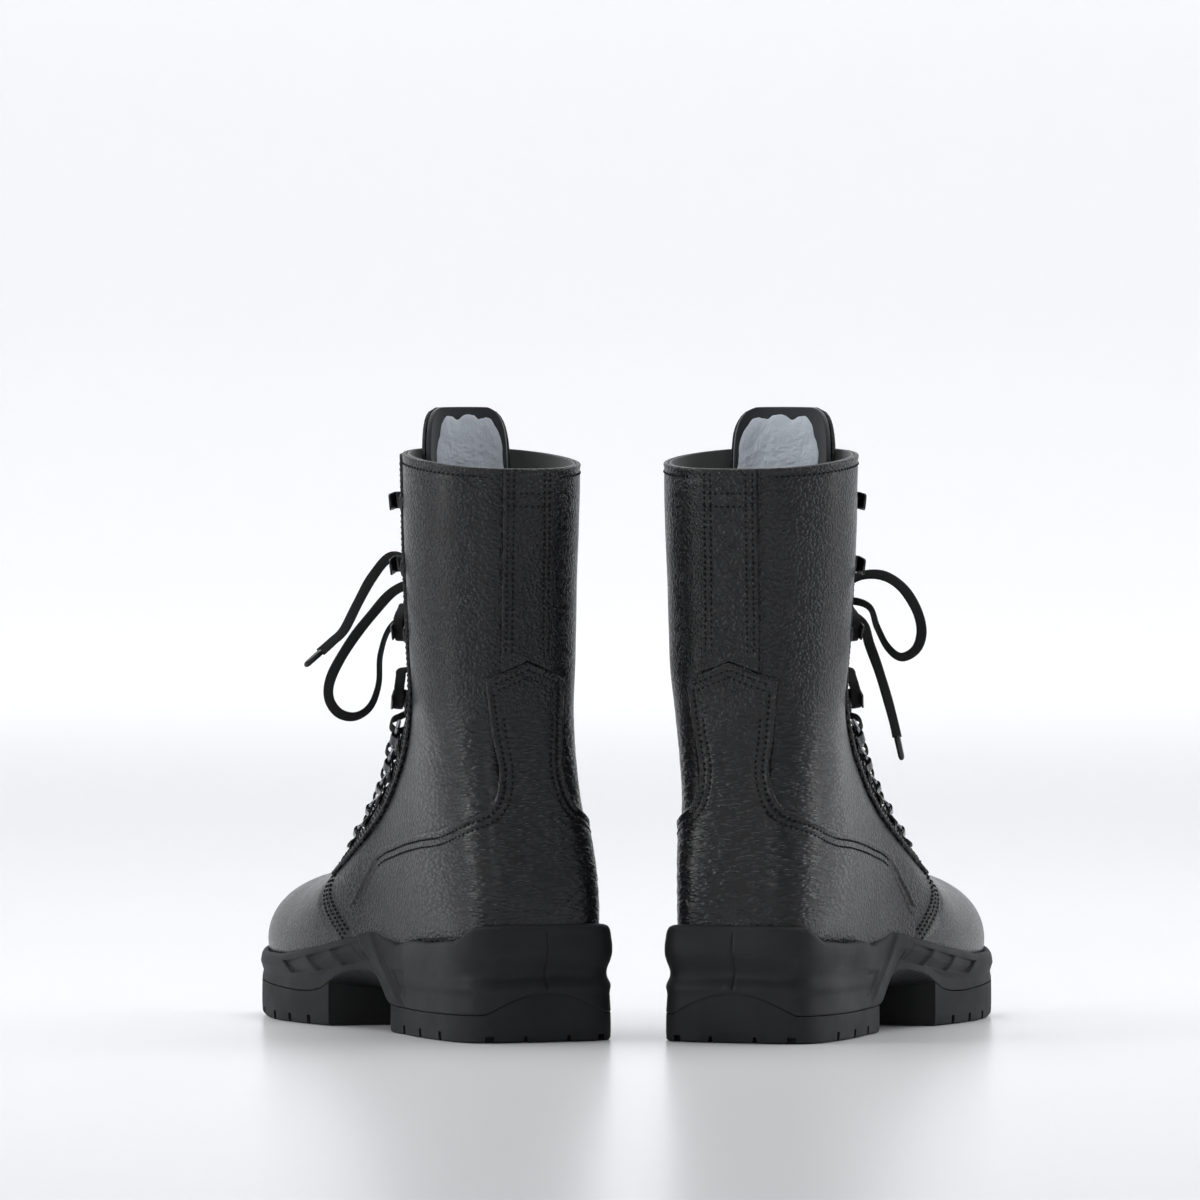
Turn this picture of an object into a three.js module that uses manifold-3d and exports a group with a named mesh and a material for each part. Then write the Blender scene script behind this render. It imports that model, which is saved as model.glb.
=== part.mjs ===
// A pair of black leather lace-up field boots, standing side by side with the toes turned out.
// Units are millimetres, +Z is up, the toes point along +Y and the origin is on the floor under the
// middle of the pair. Each boot is built in its own frame: x across (positive to the outer side of
// the foot), y forward from the back of the heel, z up from the floor. The left boot is the mirrored
// one.

import * as THREE from "three";
import { mergeVertices } from "three/addons/utils/BufferGeometryUtils.js";
import Module from "manifold-3d";

const wasm = await Module();
wasm.setup();

// ---------------------------------------------------------------- driving dimensions
const GAP = 0.35; // clearance between rigid pieces that touch
const LAYER = 1.2; // clearance between curved layers of leather
const OVER = 1.4; // lift of the counter, backstay and facings off the quarters
const LEATHER = 2.0; // quarters and vamp
const LINING = 1.4;
const OVERLAY = 1.6; // counter and backstay, laid on the quarters
const FACING = 1.4; // strip that carries the hooks and clips
const TONGUE = 2.0;

const FACING_EDGE = 0.885; // place of the facing edge round each section: 0 back, 1 front
const RING_INSET = 5; // hinge bars behind the facing edge
const HOOK_INSET = 11;
const FACING_WIDTH = 21;
const SEAM_U = 0.006; // half of the back seam's gap
const RIM_V = 17; // section of the rim

const HEEL_HEIGHT = 23; // outsole under the heel
const HEEL_END = 108; // heel breast
const TREAD_START = 150; // back end of the forefoot tread
const FOREFOOT_HEIGHT = 9;
const TREAD_DEPTH = 4.5;
const FOOT_MIDDLE = 150; // middle of the layers under the foot
const FOOT_SHARE = 0.82; // of the sole's length

const RING_HEIGHTS = [95, 107.5, 120, 133, 147.5]; // above the floor
const RING_WIRE = 1.1; // radius
const RING_REACH = 9.5;
const RING_HALF = 6.5;
const BAR_HEIGHT = 2.7; // hinge bar above the facing
const HOOK_HEIGHTS = [168, 204, 237, 270];
const HOOK_RISE = 8.5; // of a hook above its facing

const LACE_WIDTH = 5.2;
const LACE_THICK = 1.2;
const LACE_LOOP = 3.5; // half of the lace's turn round a ring's wire
const AGLET_LENGTH = 12.5;
const AGLET_RADIUS = 1.7;
const KNOT = [7.5, 4.2, 5.5]; // half-sizes
const KNOT_AT = [0, 121, 219];

const LEAF_BASE_V = 15.1; // where the loose top of the tongue begins

// Each boot: side of the pair, place of the back of its heel, toe-out, sideways lean of the shaft and
// how much wider than the last the empty shaft stands.
const BOOTS = [
  { name: "left", side: -1, back: [-45.75, 0], toeOut: 24, lean: 4.5, spread: 0 },
  { name: "right", side: 1, back: [45.75, -8], toeOut: 21, lean: -7, spread: 0.12 },
];

// Moves the pair so that the middle of its box lies over the origin.
const TO_CENTRE = [6.2, -133.2];

// Sections of the upper from the toe to above the rim. Each runs from a point low at the back to one
// high at the front ([forward, up]). outer and inner are half-widths, belly brings the widest place
// down, and square flattens the low and the high end.
const SECTIONS = [
  { low: [299, 24], high: [302, 41], outer: 13, inner: 13, belly: 1, square: [0.8, 0.9] },
  { low: [294, 21], high: [295, 57], outer: 26, inner: 25, belly: 1.1, square: [0.6, 0.9] },
  { low: [280, 20], high: [279, 69], outer: 37, inner: 35, belly: 1.3, square: [0.5, 0.88] },
  { low: [257, 20], high: [256, 75], outer: 44, inner: 41, belly: 1.5, square: [0.45, 0.85] },
  { low: [228, 20], high: [227, 79], outer: 48, inner: 44, belly: 1.6, square: [0.45, 0.85] },
  { low: [196, 21], high: [196, 89], outer: 48.5, inner: 44, belly: 1.6, square: [0.45, 0.85] },
  { low: [163, 24], high: [170, 108], outer: 44, inner: 41, belly: 1.6, square: [0.45, 0.8] },
  { low: [130, 29], high: [153, 127], outer: 38, inner: 38, belly: 1.7, square: [0.45, 0.75] },
  { low: [90, 34], high: [144, 141], outer: 36.5, inner: 37, belly: 1.8, square: [0.5, 0.72] },
  { low: [45, 37], high: [137, 154], outer: 37, inner: 37.5, belly: 1.8, square: [0.55, 0.7] },
  { low: [12, 41], high: [130, 166], outer: 37.5, inner: 38, belly: 1.7, square: [0.62, 0.7] },
  { low: [5, 72], high: [123, 179], outer: 36.5, inner: 37, belly: 1.5, square: [0.7, 0.7] },
  { low: [11, 109], high: [117, 193], outer: 36, inner: 36, belly: 1.25, square: [0.75, 0.7] },
  { low: [16, 146], high: [112, 211], outer: 38, inner: 38, belly: 1.1, square: [0.78, 0.7] },
  { low: [17, 182], high: [109, 231], outer: 40, inner: 40.5, belly: 1.05, square: [0.8, 0.7] },
  { low: [16, 218], high: [107, 253], outer: 42, inner: 42, belly: 1, square: [0.8, 0.72] },
  { low: [15, 254], high: [107, 277], outer: 43, inner: 43, belly: 1, square: [0.8, 0.74] },
  { low: [14, 287], high: [108, 297], outer: 43.5, inner: 43, belly: 1, square: [0.8, 0.75] },
  { low: [14, 320], high: [109, 327], outer: 43.5, inner: 43, belly: 1, square: [0.8, 0.75] },
];

// Outline of the sole, [across, forward], from the back of the heel round the outer side.
const OUTLINE = [
  [0, 0], [20, 0.3], [34, 4], [42, 14], [45, 34], [44.5, 66], [41.5, 98], [41, 128], [47, 163],
  [52.5, 198], [53.5, 228], [50, 256], [39, 283], [20, 299], [-4, 304], [-26, 298], [-40, 280],
  [-47, 252], [-49, 220], [-47, 188], [-42, 155], [-39, 122], [-40.5, 95], [-43.5, 66], [-44, 34],
  [-41.5, 14], [-34, 4], [-20, 0.3],
];

// Height of the cup's upper edge at places along the foot, [forward, up].
const CUP_TOP = [
  [0, 59], [8, 58], [20, 51], [50, 48.5], [85, 48], [103, 45], [118, 47.5], [130, 50.5],
  [150, 47.5], [185, 40.5], [228, 34.5], [265, 34], [304, 38],
];

// ---------------------------------------------------------------- small helpers
const mix = (a, b, t) => a + (b - a) * t;
const clamp = (x, a, b) => Math.min(Math.max(x, a), b);
const smooth = (a, b, x) => {
  const t = clamp((x - a) / (b - a), 0, 1);
  return t * t * (3 - 2 * t);
};

// Catmull-Rom curve through evenly numbered values.
function spline(values, t) {
  const i = clamp(Math.floor(t), 0, values.length - 2);
  const f = t - i;
  const at = (k) => values[clamp(k, 0, values.length - 1)];
  const [a, b, c, d] = [at(i - 1), at(i), at(i + 1), at(i + 2)];
  return b + 0.5 * f * (c - a + f * (2 * a - 5 * b + 4 * c - d + f * (3 * (b - c) + d - a)));
}

// Straight-line interpolation in a table of [x, y] rows.
function table(rows, x) {
  const i = clamp(rows.findIndex((row) => row[0] > x) - 1, 0, rows.length - 2);
  const [[x0, y0], [x1, y1]] = [rows[i], rows[i + 1]];
  return mix(y0, y1, clamp((x - x0) / (x1 - x0), 0, 1));
}

// Moves every vertex of a geometry, and turns it the right way out.
function bend(geometry, place) {
  geometry.deleteAttribute("normal");
  geometry.deleteAttribute("uv");
  const welded = mergeVertices(geometry, 1e-5);
  const position = welded.attributes.position;
  const p = new THREE.Vector3();
  for (let i = 0; i < position.count; i++) {
    p.fromBufferAttribute(position, i);
    const q = place(p.x, p.y, p.z);
    position.setXYZ(i, q.x, q.y, q.z);
  }
  return outward(welded);
}

function outward(geometry) {
  const { position } = geometry.attributes;
  const index = geometry.index.array;
  const [a, b, c] = [new THREE.Vector3(), new THREE.Vector3(), new THREE.Vector3()];
  let volume = 0;
  for (let i = 0; i < index.length; i += 3) {
    a.fromBufferAttribute(position, index[i]);
    b.fromBufferAttribute(position, index[i + 1]);
    c.fromBufferAttribute(position, index[i + 2]);
    volume += a.dot(b.cross(c));
  }
  if (volume < 0) {
    for (let i = 0; i < index.length; i += 3) {
      [index[i + 1], index[i + 2]] = [index[i + 2], index[i + 1]];
    }
  }
  geometry.computeVertexNormals();
  return geometry;
}

function solidOf(geometry, matrix = new THREE.Matrix4()) {
  const copy = geometry.clone().applyMatrix4(matrix);
  copy.deleteAttribute("normal");
  copy.deleteAttribute("uv");
  const welded = mergeVertices(copy, 1e-4);
  return new wasm.Manifold(
    new wasm.Mesh({
      numProp: 3,
      vertProperties: welded.attributes.position.array,
      triVerts: new Uint32Array(welded.index.array),
    }),
  );
}

function geometryOf(solid) {
  const made = solid.getMesh();
  const geometry = new THREE.BufferGeometry();
  geometry.setAttribute("position", new THREE.BufferAttribute(made.vertProperties, 3));
  geometry.setIndex(new THREE.BufferAttribute(made.triVerts, 1));
  geometry.computeVertexNormals();
  return geometry;
}

const join = (solids) => solids.reduce((whole, next) => whole.add(next));

function boxAt(x, y, z) {
  const box = new THREE.BoxGeometry(x[1] - x[0], y[1] - y[0], z[1] - z[0]);
  return box.translate((x[0] + x[1]) / 2, (y[0] + y[1]) / 2, (z[0] + z[1]) / 2);
}

// ---------------------------------------------------------------- the upper's surface
// u runs round a section from 0 at the back or sole to 1 at the front or instep on the outer side, and
// to -1 on the inner side; v runs through the sections from the toe to the rim.
function lastOf(boot) {
  const sectionAt = (v) => {
    const value = (pick) => spline(SECTIONS.map(pick), v);
    return {
      low: [value((s) => s.low[0]), value((s) => s.low[1])],
      high: [value((s) => s.high[0]), value((s) => s.high[1])],
      outer: value((s) => s.outer),
      inner: value((s) => s.inner),
      belly: value((s) => s.belly),
      square: [value((s) => s.square[0]), value((s) => s.square[1])],
    };
  };
  const halfWidth = (s, side, turn) => {
    const share = (1 - Math.cos(turn)) / 2;
    const power = mix(s.square[0], s.square[1], share);
    return (side < 0 ? s.inner : s.outer) * Math.sin(turn) ** power;
  };
  const point = (u, v) => {
    const around = u > 1 ? u - 2 : u < -1 ? u + 2 : u;
    const side = around < 0 ? -1 : 1;
    const turn = clamp(Math.abs(around), 0, 1) * Math.PI;
    const s = sectionAt(v);
    const share = ((1 - Math.cos(turn)) / 2) ** s.belly;
    const y = mix(s.low[0], s.high[0], share);
    const z = mix(s.low[1], s.high[1], share);
    const rise = smooth(60, 190, z);
    const x = side * halfWidth(s, side, turn) * (1 + boot.spread * rise) + boot.lean * rise;
    return new THREE.Vector3(x, y, z);
  };
  const normal = (u, v) => {
    const [du, dv] = [0.004, 0.02];
    const across = point(u + du, v).sub(point(u - du, v));
    const along = point(u, Math.min(v + dv, 18)).sub(point(u, Math.max(v - dv, 0)));
    const s = sectionAt(v);
    const middle = new THREE.Vector3(0, mix(s.low[0], s.high[0], 0.5), mix(s.low[1], s.high[1], 0.5));
    const n = across.cross(along).normalize();
    return n.dot(point(u, v).sub(middle)) < 0 ? n.negate() : n;
  };
  const lifted = (u, v, lift) => point(u, v).addScaledVector(normal(u, v), lift);

  // The place with a given side view, [forward, up].
  const onSide = (y, z) => {
    const beside = (v) => {
      const { low, high } = sectionAt(v);
      return (high[0] - low[0]) * (z - low[1]) - (high[1] - low[1]) * (y - low[0]);
    };
    let [from, to] = [0, 17.5];
    for (let i = 0; i < 40; i++) {
      const v = (from + to) / 2;
      if (beside(v) > 0) from = v;
      else to = v;
    }
    const s = sectionAt(from);
    const run = [s.high[0] - s.low[0], s.high[1] - s.low[1]];
    const along = (y - s.low[0]) * run[0] + (z - s.low[1]) * run[1];
    const share = clamp(along / (run[0] ** 2 + run[1] ** 2), 0, 1) ** (1 / s.belly);
    return [Math.acos(1 - 2 * share) / Math.PI, from];
  };
  // The place on the back of the boot at a given distance from its middle and height.
  const onBack = (x, z) => {
    let [from, to] = [9, 17.9];
    const around = (v) => {
      const s = sectionAt(v);
      return Math.asin(clamp(x / s.outer, 0, 1) ** (1 / s.square[0])) / Math.PI;
    };
    for (let i = 0; i < 40; i++) {
      const v = (from + to) / 2;
      if (point(around(v), v).z < z) from = v;
      else to = v;
    }
    return [around(from), from];
  };
  // Axes at a place: x towards the middle of the lacing, z out of the leather.
  const frame = (u, v, lift) => {
    const z = normal(u, v);
    const step = u < 0 ? -0.01 : 0.01;
    const x = point(u + step, v).sub(point(u, v));
    x.addScaledVector(z, -x.dot(z)).normalize();
    const y = z.clone().cross(x);
    return new THREE.Matrix4().makeBasis(x, y, z).setPosition(lifted(u, v, lift));
  };
  // The place on one side at a height and a distance behind the facing edge.
  const behindEdge = (side, v, distance) => {
    let [u, left] = [FACING_EDGE, distance];
    const step = 0.002;
    while (left > 0) {
      left -= point(side * u, v).distanceTo(point(side * (u - step), v));
      u -= step;
    }
    return side * u;
  };
  const hardwareAt = (side, z, distance) => {
    let [from, to] = [4, 17.5];
    for (let i = 0; i < 24; i++) {
      const v = (from + to) / 2;
      if (point(behindEdge(side, v, distance), v).z < z) from = v;
      else to = v;
    }
    return [behindEdge(side, from, distance), from];
  };
  return { point, normal, lifted, onSide, onBack, frame, sectionAt, behindEdge, hardwareAt };
}

// A sheet of leather laid on the last: place(a, b) gives u and v for a and b from 0 to 1.
function sheet(last, columns, rows, place, inside, outside) {
  return bend(new THREE.BoxGeometry(1, 1, 1, columns, rows, 1), (x, y, z) => {
    const [u, v] = place(x + 0.5, y + 0.5);
    return last.lifted(u, v, mix(inside, outside, z + 0.5));
  });
}

// ---------------------------------------------------------------- leather panels
// Seam between the vamp and the quarters, as the section it crosses at each u.
const vampSeam = (u) => mix(6.3, 5.1, smooth(0.3, 0.75, Math.abs(u)));

// Lower edge of the quarters: the lasting margin under the foot, closed up at the back seam.
const quarterFoot = (v) => mix(0.15, SEAM_U, smooth(8.5, 10.6, v));

function makeVamp(last) {
  const margin = 0.14;
  const place = (a, b) => {
    const u = mix(margin, 2 - margin, a);
    return [u, mix(0, vampSeam(u > 1 ? 2 - u : u) - 0.03, b)];
  };
  return sheet(last, 12, 7, place, -LEATHER, 0);
}

// Grid shared by the quarters and the lining behind them, so that the layers stay parallel.
const QUARTER_COLUMNS = 8;
const QUARTER_ROWS = 10;
function quarterPlace(a, b) {
  const start = vampSeam(mix(0.15, FACING_EDGE, a)) + 0.03;
  const v = mix(start, RIM_V, b);
  return [mix(quarterFoot(v), FACING_EDGE, a), v];
}

function makeQuarter(last, side) {
  const place = (a, b) => {
    const [u, v] = quarterPlace(a, b);
    return [side * u, v];
  };
  return sheet(last, QUARTER_COLUMNS, QUARTER_ROWS, place, -LEATHER, 0);
}

const COUNTER_ROWS = 5;

// Saddle-shaped counter: a roofed tower up the back seam, sweeping forward to the vamp on both sides.
function counterPlace(last) {
  const top = [
    last.onBack(0, 190), last.onBack(21, 181), last.onBack(19, 154), last.onBack(18, 131),
    last.onBack(23, 117), last.onSide(42, 106), last.onSide(76, 102), last.onSide(108, 97),
    last.onSide(136, 88.5), last.onSide(155, 64),
  ];
  const foot = [
    last.onBack(0, 50), last.onBack(7, 50), last.onBack(14, 50), last.onBack(24, 49),
    last.onBack(31, 47), last.onSide(35, 42), last.onSide(75, 38), last.onSide(112, 36),
    last.onSide(136, 36), last.onSide(152, 36),
  ];
  const ends = top.length - 1;
  const read = (list, t, k) => spline(list.map((row) => row[k]), t);
  const place = (a, b) => {
    const t = Math.abs(2 * a - 1) * ends;
    const side = a < 0.5 ? -1 : 1;
    const pick = (k) => mix(read(foot, t, k), read(top, t, k), b);
    return [side * Math.max(pick(0), 0), pick(1)];
  };
  return { columns: 4 * ends, place };
}

function makeCounter(last) {
  const { columns, place } = counterPlace(last);
  return sheet(last, columns, COUNTER_ROWS, place, OVER, OVER + OVERLAY);
}

function makeBackstay(last) {
  const half = 13.5;
  const [, start] = last.onBack(half, 193);
  const edge = (v) => last.onBack(half, last.point(0.1, v).z)[0];
  const place = (a, b) => {
    const v = mix(start, 16.85, b);
    return [mix(-1, 1, a) * edge(v), v];
  };
  return sheet(last, 4, 5, place, OVER, OVER + OVERLAY);
}

function makeVampLining(last) {
  const margin = 0.14;
  const place = (a, b) => {
    const u = mix(margin, 2 - margin, a);
    return [u, mix(0.75, vampSeam(u > 1 ? 2 - u : u) - 0.03, b)];
  };
  const outside = -LEATHER - LAYER;
  return sheet(last, 12, 6, place, outside - LINING, outside);
}

function makeShaftLining(last) {
  const place = (a, b) => {
    const [u, v] = quarterPlace(Math.abs(2 * a - 1), b);
    return [(a < 0.5 ? -1 : 1) * (a === 0.5 ? 0 : u), v];
  };
  const outside = -LEATHER - 2 * LAYER;
  return sheet(last, 2 * QUARTER_COLUMNS, QUARTER_ROWS, place, outside - LINING, outside);
}

// ---------------------------------------------------------------- tongue
const TONGUE_OUTSIDE = -LEATHER - LINING - 3 * LAYER;

function makeTongue(last) {
  const place = (a, b) => {
    const v = mix(4.95, LEAF_BASE_V - 0.05, b);
    const half = mix(0.12, 0.21, smooth(5, 9, v));
    return [1 + mix(-half, half, a), v];
  };
  return sheet(last, 4, 10, place, TONGUE_OUTSIDE - TONGUE, TONGUE_OUTSIDE);
}

// The loose top of the tongue, with its soft facing on the shaft side.
function makeTongueLeaf(last) {
  const corner = 0.62; // share of the height where the rounded top begins
  const place = (a, b) => {
    const half = 0.2 * Math.sqrt(1 - 0.55 * clamp((b - corner) / (1 - corner), 0, 1) ** 2);
    return [1 + mix(-half, half, a), mix(LEAF_BASE_V + 0.05, 17.62, b)];
  };
  return sheet(last, 6, 5, place, TONGUE_OUTSIDE - TONGUE - 3, TONGUE_OUTSIDE);
}

// ---------------------------------------------------------------- sole
function outlineAt(s) {
  const n = OUTLINE.length;
  const at = (k) => OUTLINE[((k % n) + n) % n];
  const whole = Math.floor(s * n);
  const near = [-1, 0, 1, 2].map((k) => at(whole + k));
  const t = 1 + s * n - whole;
  return [0, 1].map((k) => spline(near.map((row) => row[k]), t));
}

// A point on the sole's wall, moved in from the outline by inset.
function solePoint(s, inset, z) {
  const [before, here, after] = [outlineAt(s - 0.002), outlineAt(s), outlineAt(s + 0.002)];
  const along = [after[0] - before[0], after[1] - before[1]];
  const length = Math.hypot(...along);
  const x = here[0] - (along[1] / length) * inset;
  const y = here[1] + (along[0] / length) * inset;
  return new THREE.Vector3(x, y, typeof z === "function" ? z(y) : z);
}

const toeSpring = (y) => 6 * smooth(232, 330, y);
const soleFloor = (y) =>
  mix(HEEL_HEIGHT, FOREFOOT_HEIGHT, smooth(HEEL_END - 12, TREAD_START + 6, y)) + toeSpring(y);
const cupTop = (y) => table(CUP_TOP, y);
const footLine = (y) => {
  const rows = SECTIONS.slice(0, 11).map((s) => s.low);
  return table([...rows].reverse(), y);
};

const STRIPS = 26;

// A solid the shape of the sole's outline: level(y, row) gives the inset and height of each row of its
// wall. It is built of strips across the foot, so that its faces follow the arch.
function soleBlock(strips, rows, level) {
  return bend(new THREE.BoxGeometry(1, 1, 1, 2, strips, rows), (x, y, z) => {
    const share = (1 - Math.cos(clamp(y + 0.5, 0.03, 0.97) * Math.PI)) / 2;
    const row = Math.round((z + 0.5) * rows);
    const wall = (s) => {
      const [, forward] = outlineAt(s);
      const [inset, up] = level(forward, row);
      return solePoint(s, inset, up);
    };
    return wall(share / 2).lerp(wall(1 - share / 2), 0.5 - x);
  });
}

// The cup midsole: a bulged wall with a groove round the heel, hollowed to take the lasted upper.
function makeMidsole(last) {
  const wall = [[1.2, 0], [2.4, 0.28], [0, 0.6], [1.4, 1]]; // inset, share of the height
  const level = (y, row) => {
    const [inset, share] = wall[row];
    return [inset, mix(soleFloor(y) + 1.7 * GAP, cupTop(y), share)];
  };
  const body = solidOf(soleBlock(STRIPS, wall.length - 1, level));
  const hollow = bend(new THREE.CylinderGeometry(1, 1, 1, 24, 17), (x, y, z) => {
    const v = mix(0, 12.5, y + 0.5);
    if (Math.hypot(x, z) < 0.5) {
      const { low, high } = last.sectionAt(v);
      return new THREE.Vector3(0, mix(low[0], high[0], 0.5), mix(low[1], high[1], 0.5));
    }
    const u = Math.atan2(z, x) / Math.PI;
    const overlaid = smooth(5.4, 6, v) * smooth(0.04, 0.1, Math.abs(u));
    return last.lifted(u, v, LAYER + (OVERLAY + 0.8) * overlaid);
  });
  const { columns, place } = counterPlace(last);
  const rows = COUNTER_ROWS + 1;
  const below = (a, b) => place(a, b === 0 ? -0.05 : (b * rows - 1) / COUNTER_ROWS);
  const counter = sheet(last, columns, rows, below, 0, OVER + OVERLAY + 2 * GAP);
  const slot = boxAt([-8.5, 8.5], [-47, 47], [-1.4, 12]);
  const cuts = [solidOf(hollow), solidOf(counter), solidOf(slot, shankPlace())];
  const bodies = cuts.reduce((rest, cut) => rest.subtract(cut), body).decompose();
  return geometryOf(bodies.sort((one, other) => other.volume() - one.volume())[0]);
}

const shankPlace = () =>
  new THREE.Matrix4().makeRotationX(-0.12).setPosition(0, 108, footLine(108) - 2.6);

const makeShank = () => new THREE.BoxGeometry(15, 92, 1.6);

// Rubber outsole: heel block and forefoot joined by a thin web under the arch, cut into lugs.
function makeOutsole() {
  const web = 3;
  const tread = (y) => mix(0, 1, smooth(HEEL_END - 2, HEEL_END + 2, y));
  const arch = (y) => tread(y) * (1 - smooth(TREAD_START - 2, TREAD_START + 6, y));
  const bottom = (y) => mix(toeSpring(y), soleFloor(y) - web, arch(y));
  const level = (y, row) => (row ? [1, soleFloor(y)] : [2.2, bottom(y)]);
  const block = soleBlock(STRIPS, 1, level);
  const cuts = [];
  const across = (y, depth, from, to) =>
    cuts.push(boxAt([from, to], [y - 2, y + 2], [-3, depth]));
  for (const y of [32, 58, 84]) {
    across(y, TREAD_DEPTH, -60, -14);
    across(y, TREAD_DEPTH, 14, 60);
  }
  for (const y of [172, 194, 216, 238, 260]) {
    across(y, TREAD_DEPTH + toeSpring(y), -70, -12);
    across(y, TREAD_DEPTH + toeSpring(y), 12, 70);
  }
  const lugs = cuts.reduce((rest, cut) => rest.subtract(solidOf(cut)), solidOf(block));
  return geometryOf(lugs);
}

// A layer under the foot, a smaller copy of the outline that follows the foot line.
function makeLayer(shrink, from, to) {
  const flat = soleBlock(STRIPS, 1, (y, row) => [0, row ? to : from]);
  return bend(flat, (x, y, z) => {
    const forward = mix(FOOT_MIDDLE, y, FOOT_SHARE);
    return new THREE.Vector3(x * shrink, forward, footLine(forward) + z);
  });
}

// ---------------------------------------------------------------- lacing hardware
// D-ring in its own frame: the hinge bar lies along y at the origin and the bow reaches along x.
function makeRing() {
  return bend(new THREE.TorusGeometry(1, 0.3, 5, 10), (x, y, z) => {
    const [turn, out] = [Math.atan2(y, x), (Math.hypot(x, y) - 1) / 0.3];
    const [c, s] = [Math.cos(turn), Math.sin(turn)];
    const reach = Math.max(c, 0) * RING_REACH;
    const r = RING_WIRE;
    return new THREE.Vector3(reach + c * out * r, s * (RING_HALF + out * r), (z / 0.3) * r);
  });
}

// Turns an outline of [x, z] points into a bar of a given length along y, and stands it at a place.
function profileSolid(outer, hole, length, place) {
  const points = (rows) => rows.map(([x, z]) => new THREE.Vector2(x, z));
  const shape = new THREE.Shape(points(outer));
  if (hole) shape.holes.push(new THREE.Path(points(hole)));
  const bar = new THREE.ExtrudeGeometry(shape, { depth: length, bevelEnabled: false });
  return solidOf(bar.rotateX(Math.PI / 2).translate(0, length / 2, 0), place);
}

// Folded clip round the bar of a ring.
function clipSolid(place) {
  const square = (r, foot) => [[-r, foot], [r, foot], [r, BAR_HEIGHT + r], [-r, BAR_HEIGHT + r]];
  return profileSolid(square(2.7, -0.6), square(1.7, BAR_HEIGHT - 1.7), 6, place);
}

// Speed hook: a riveted plate, a post on the lacing side and a lip that points away from it.
function hookSolid(place) {
  const [foot, plate, lip, top] = [-0.6, 1.1, HOOK_RISE - 1.1, HOOK_RISE];
  const outline = [
    [-6, foot], [4.5, foot], [4.5, plate], [3, plate], [3, top], [-4.5, top], [-4.5, lip],
    [1.6, lip], [1.6, plate], [-6, plate],
  ];
  return profileSolid(outline, null, 9, place);
}

const onFacing = (last, side, z, inset, above = 0) =>
  last.frame(...last.hardwareAt(side, z, inset), OVER + FACING + above);

function makeFacing(last, side) {
  const place = (a, b) => {
    const v = mix(5.25, 16.9, b);
    return [mix(last.behindEdge(side, v, FACING_WIDTH), last.behindEdge(side, v, 0.6), a), v];
  };
  const strip = solidOf(sheet(last, 2, 12, place, OVER, OVER + FACING));
  const clips = RING_HEIGHTS.map((z) => clipSolid(onFacing(last, side, z, RING_INSET)));
  const hooks = HOOK_HEIGHTS.map((z) => hookSolid(onFacing(last, side, z, HOOK_INSET)));
  return geometryOf(join([strip, ...clips, ...hooks]));
}

// ---------------------------------------------------------------- lace
// A flat lace through stations of { at, wide }, where wide is the direction of its width.
function ribbon(stations, width, thick) {
  for (let i = 1; i < stations.length; i++) {
    if (stations[i].wide.dot(stations[i - 1].wide) < 0) stations[i].wide.negate();
  }
  const last = stations.length - 1;
  return bend(new THREE.BoxGeometry(1, 1, 1, 1, 1, last), (x, y, z) => {
    const i = Math.round((z + 0.5) * last);
    const { at, wide } = stations[i];
    const along = stations[Math.min(i + 1, last)].at.clone().sub(stations[Math.max(i - 1, 0)].at);
    const across = wide.clone().addScaledVector(along, -wide.dot(along) / along.lengthSq()).normalize();
    const out = along.cross(across).normalize();
    return at.clone().addScaledVector(across, x * width).addScaledVector(out, y * thick);
  });
}

// Stations of the lace round a ring or a hook, from its lower to its upper side of the crossing.
function roundRing(frame) {
  const wide = new THREE.Vector3().setFromMatrixColumn(frame, 1);
  const mid = BAR_HEIGHT;
  const spots = [
    [RING_REACH + 2.5, mid - LACE_LOOP], [RING_REACH - 2, mid - 3.2], [RING_REACH - 4.3, mid],
    [RING_REACH - 2, mid + 3.4], [RING_REACH + 2.5, mid + LACE_LOOP],
  ];
  return spots.map(([x, z]) => ({
    at: new THREE.Vector3(x, 0, z).applyMatrix4(frame),
    wide: wide.clone(),
  }));
}

function roundHook(frame, up) {
  const wide = new THREE.Vector3().setFromMatrixColumn(frame, 2);
  const spots = [
    [14, -7.4], [8, -7.2], [3.5, -7], [-0.2, -4.9], [-0.2, 4.9], [3.5, 7], [8, 7.2], [14, 7.4],
  ];
  return spots.map(([x, y]) => ({
    at: new THREE.Vector3(x, up * y, 4.3).applyMatrix4(frame),
    wide: wide.clone(),
  }));
}

// One lace, held all the way: from the knot down to the lowest rings and up again to the knot.
function makeLace(last) {
  const half = (side) => {
    const stops = [];
    const heights = [...RING_HEIGHTS, ...HOOK_HEIGHTS.slice(0, 2)];
    let here = side;
    heights.forEach((z, i) => {
      const isRing = i < RING_HEIGHTS.length;
      const frame = onFacing(last, here, z, isRing ? RING_INSET : HOOK_INSET);
      const yUp = new THREE.Vector3().setFromMatrixColumn(frame, 1).z > 0 ? 1 : -1;
      stops.push(...(isRing ? roundRing(frame) : roundHook(frame, yUp)));
      if (i < heights.length - 1) {
        const [, v] = last.hardwareAt(here, (z + heights[i + 1]) / 2, 0);
        const lift = 4 + (side > 0 ? 1.5 : -1.5);
        const wide = last.point(1, v + 0.1).sub(last.point(1, v));
        stops.push({ at: last.lifted(1, v, lift), wide: wide.normalize() });
      }
      here = -here;
    });
    const end = new THREE.Vector3(-here * (KNOT[0] + 1.2), KNOT_AT[1] - 3, KNOT_AT[2] - 4.5);
    stops.push({ at: end, wide: new THREE.Vector3(0, 0, 1) });
    return stops;
  };
  return ribbon([...half(-1).reverse(), ...half(1)], LACE_WIDTH, LACE_THICK);
}

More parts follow.
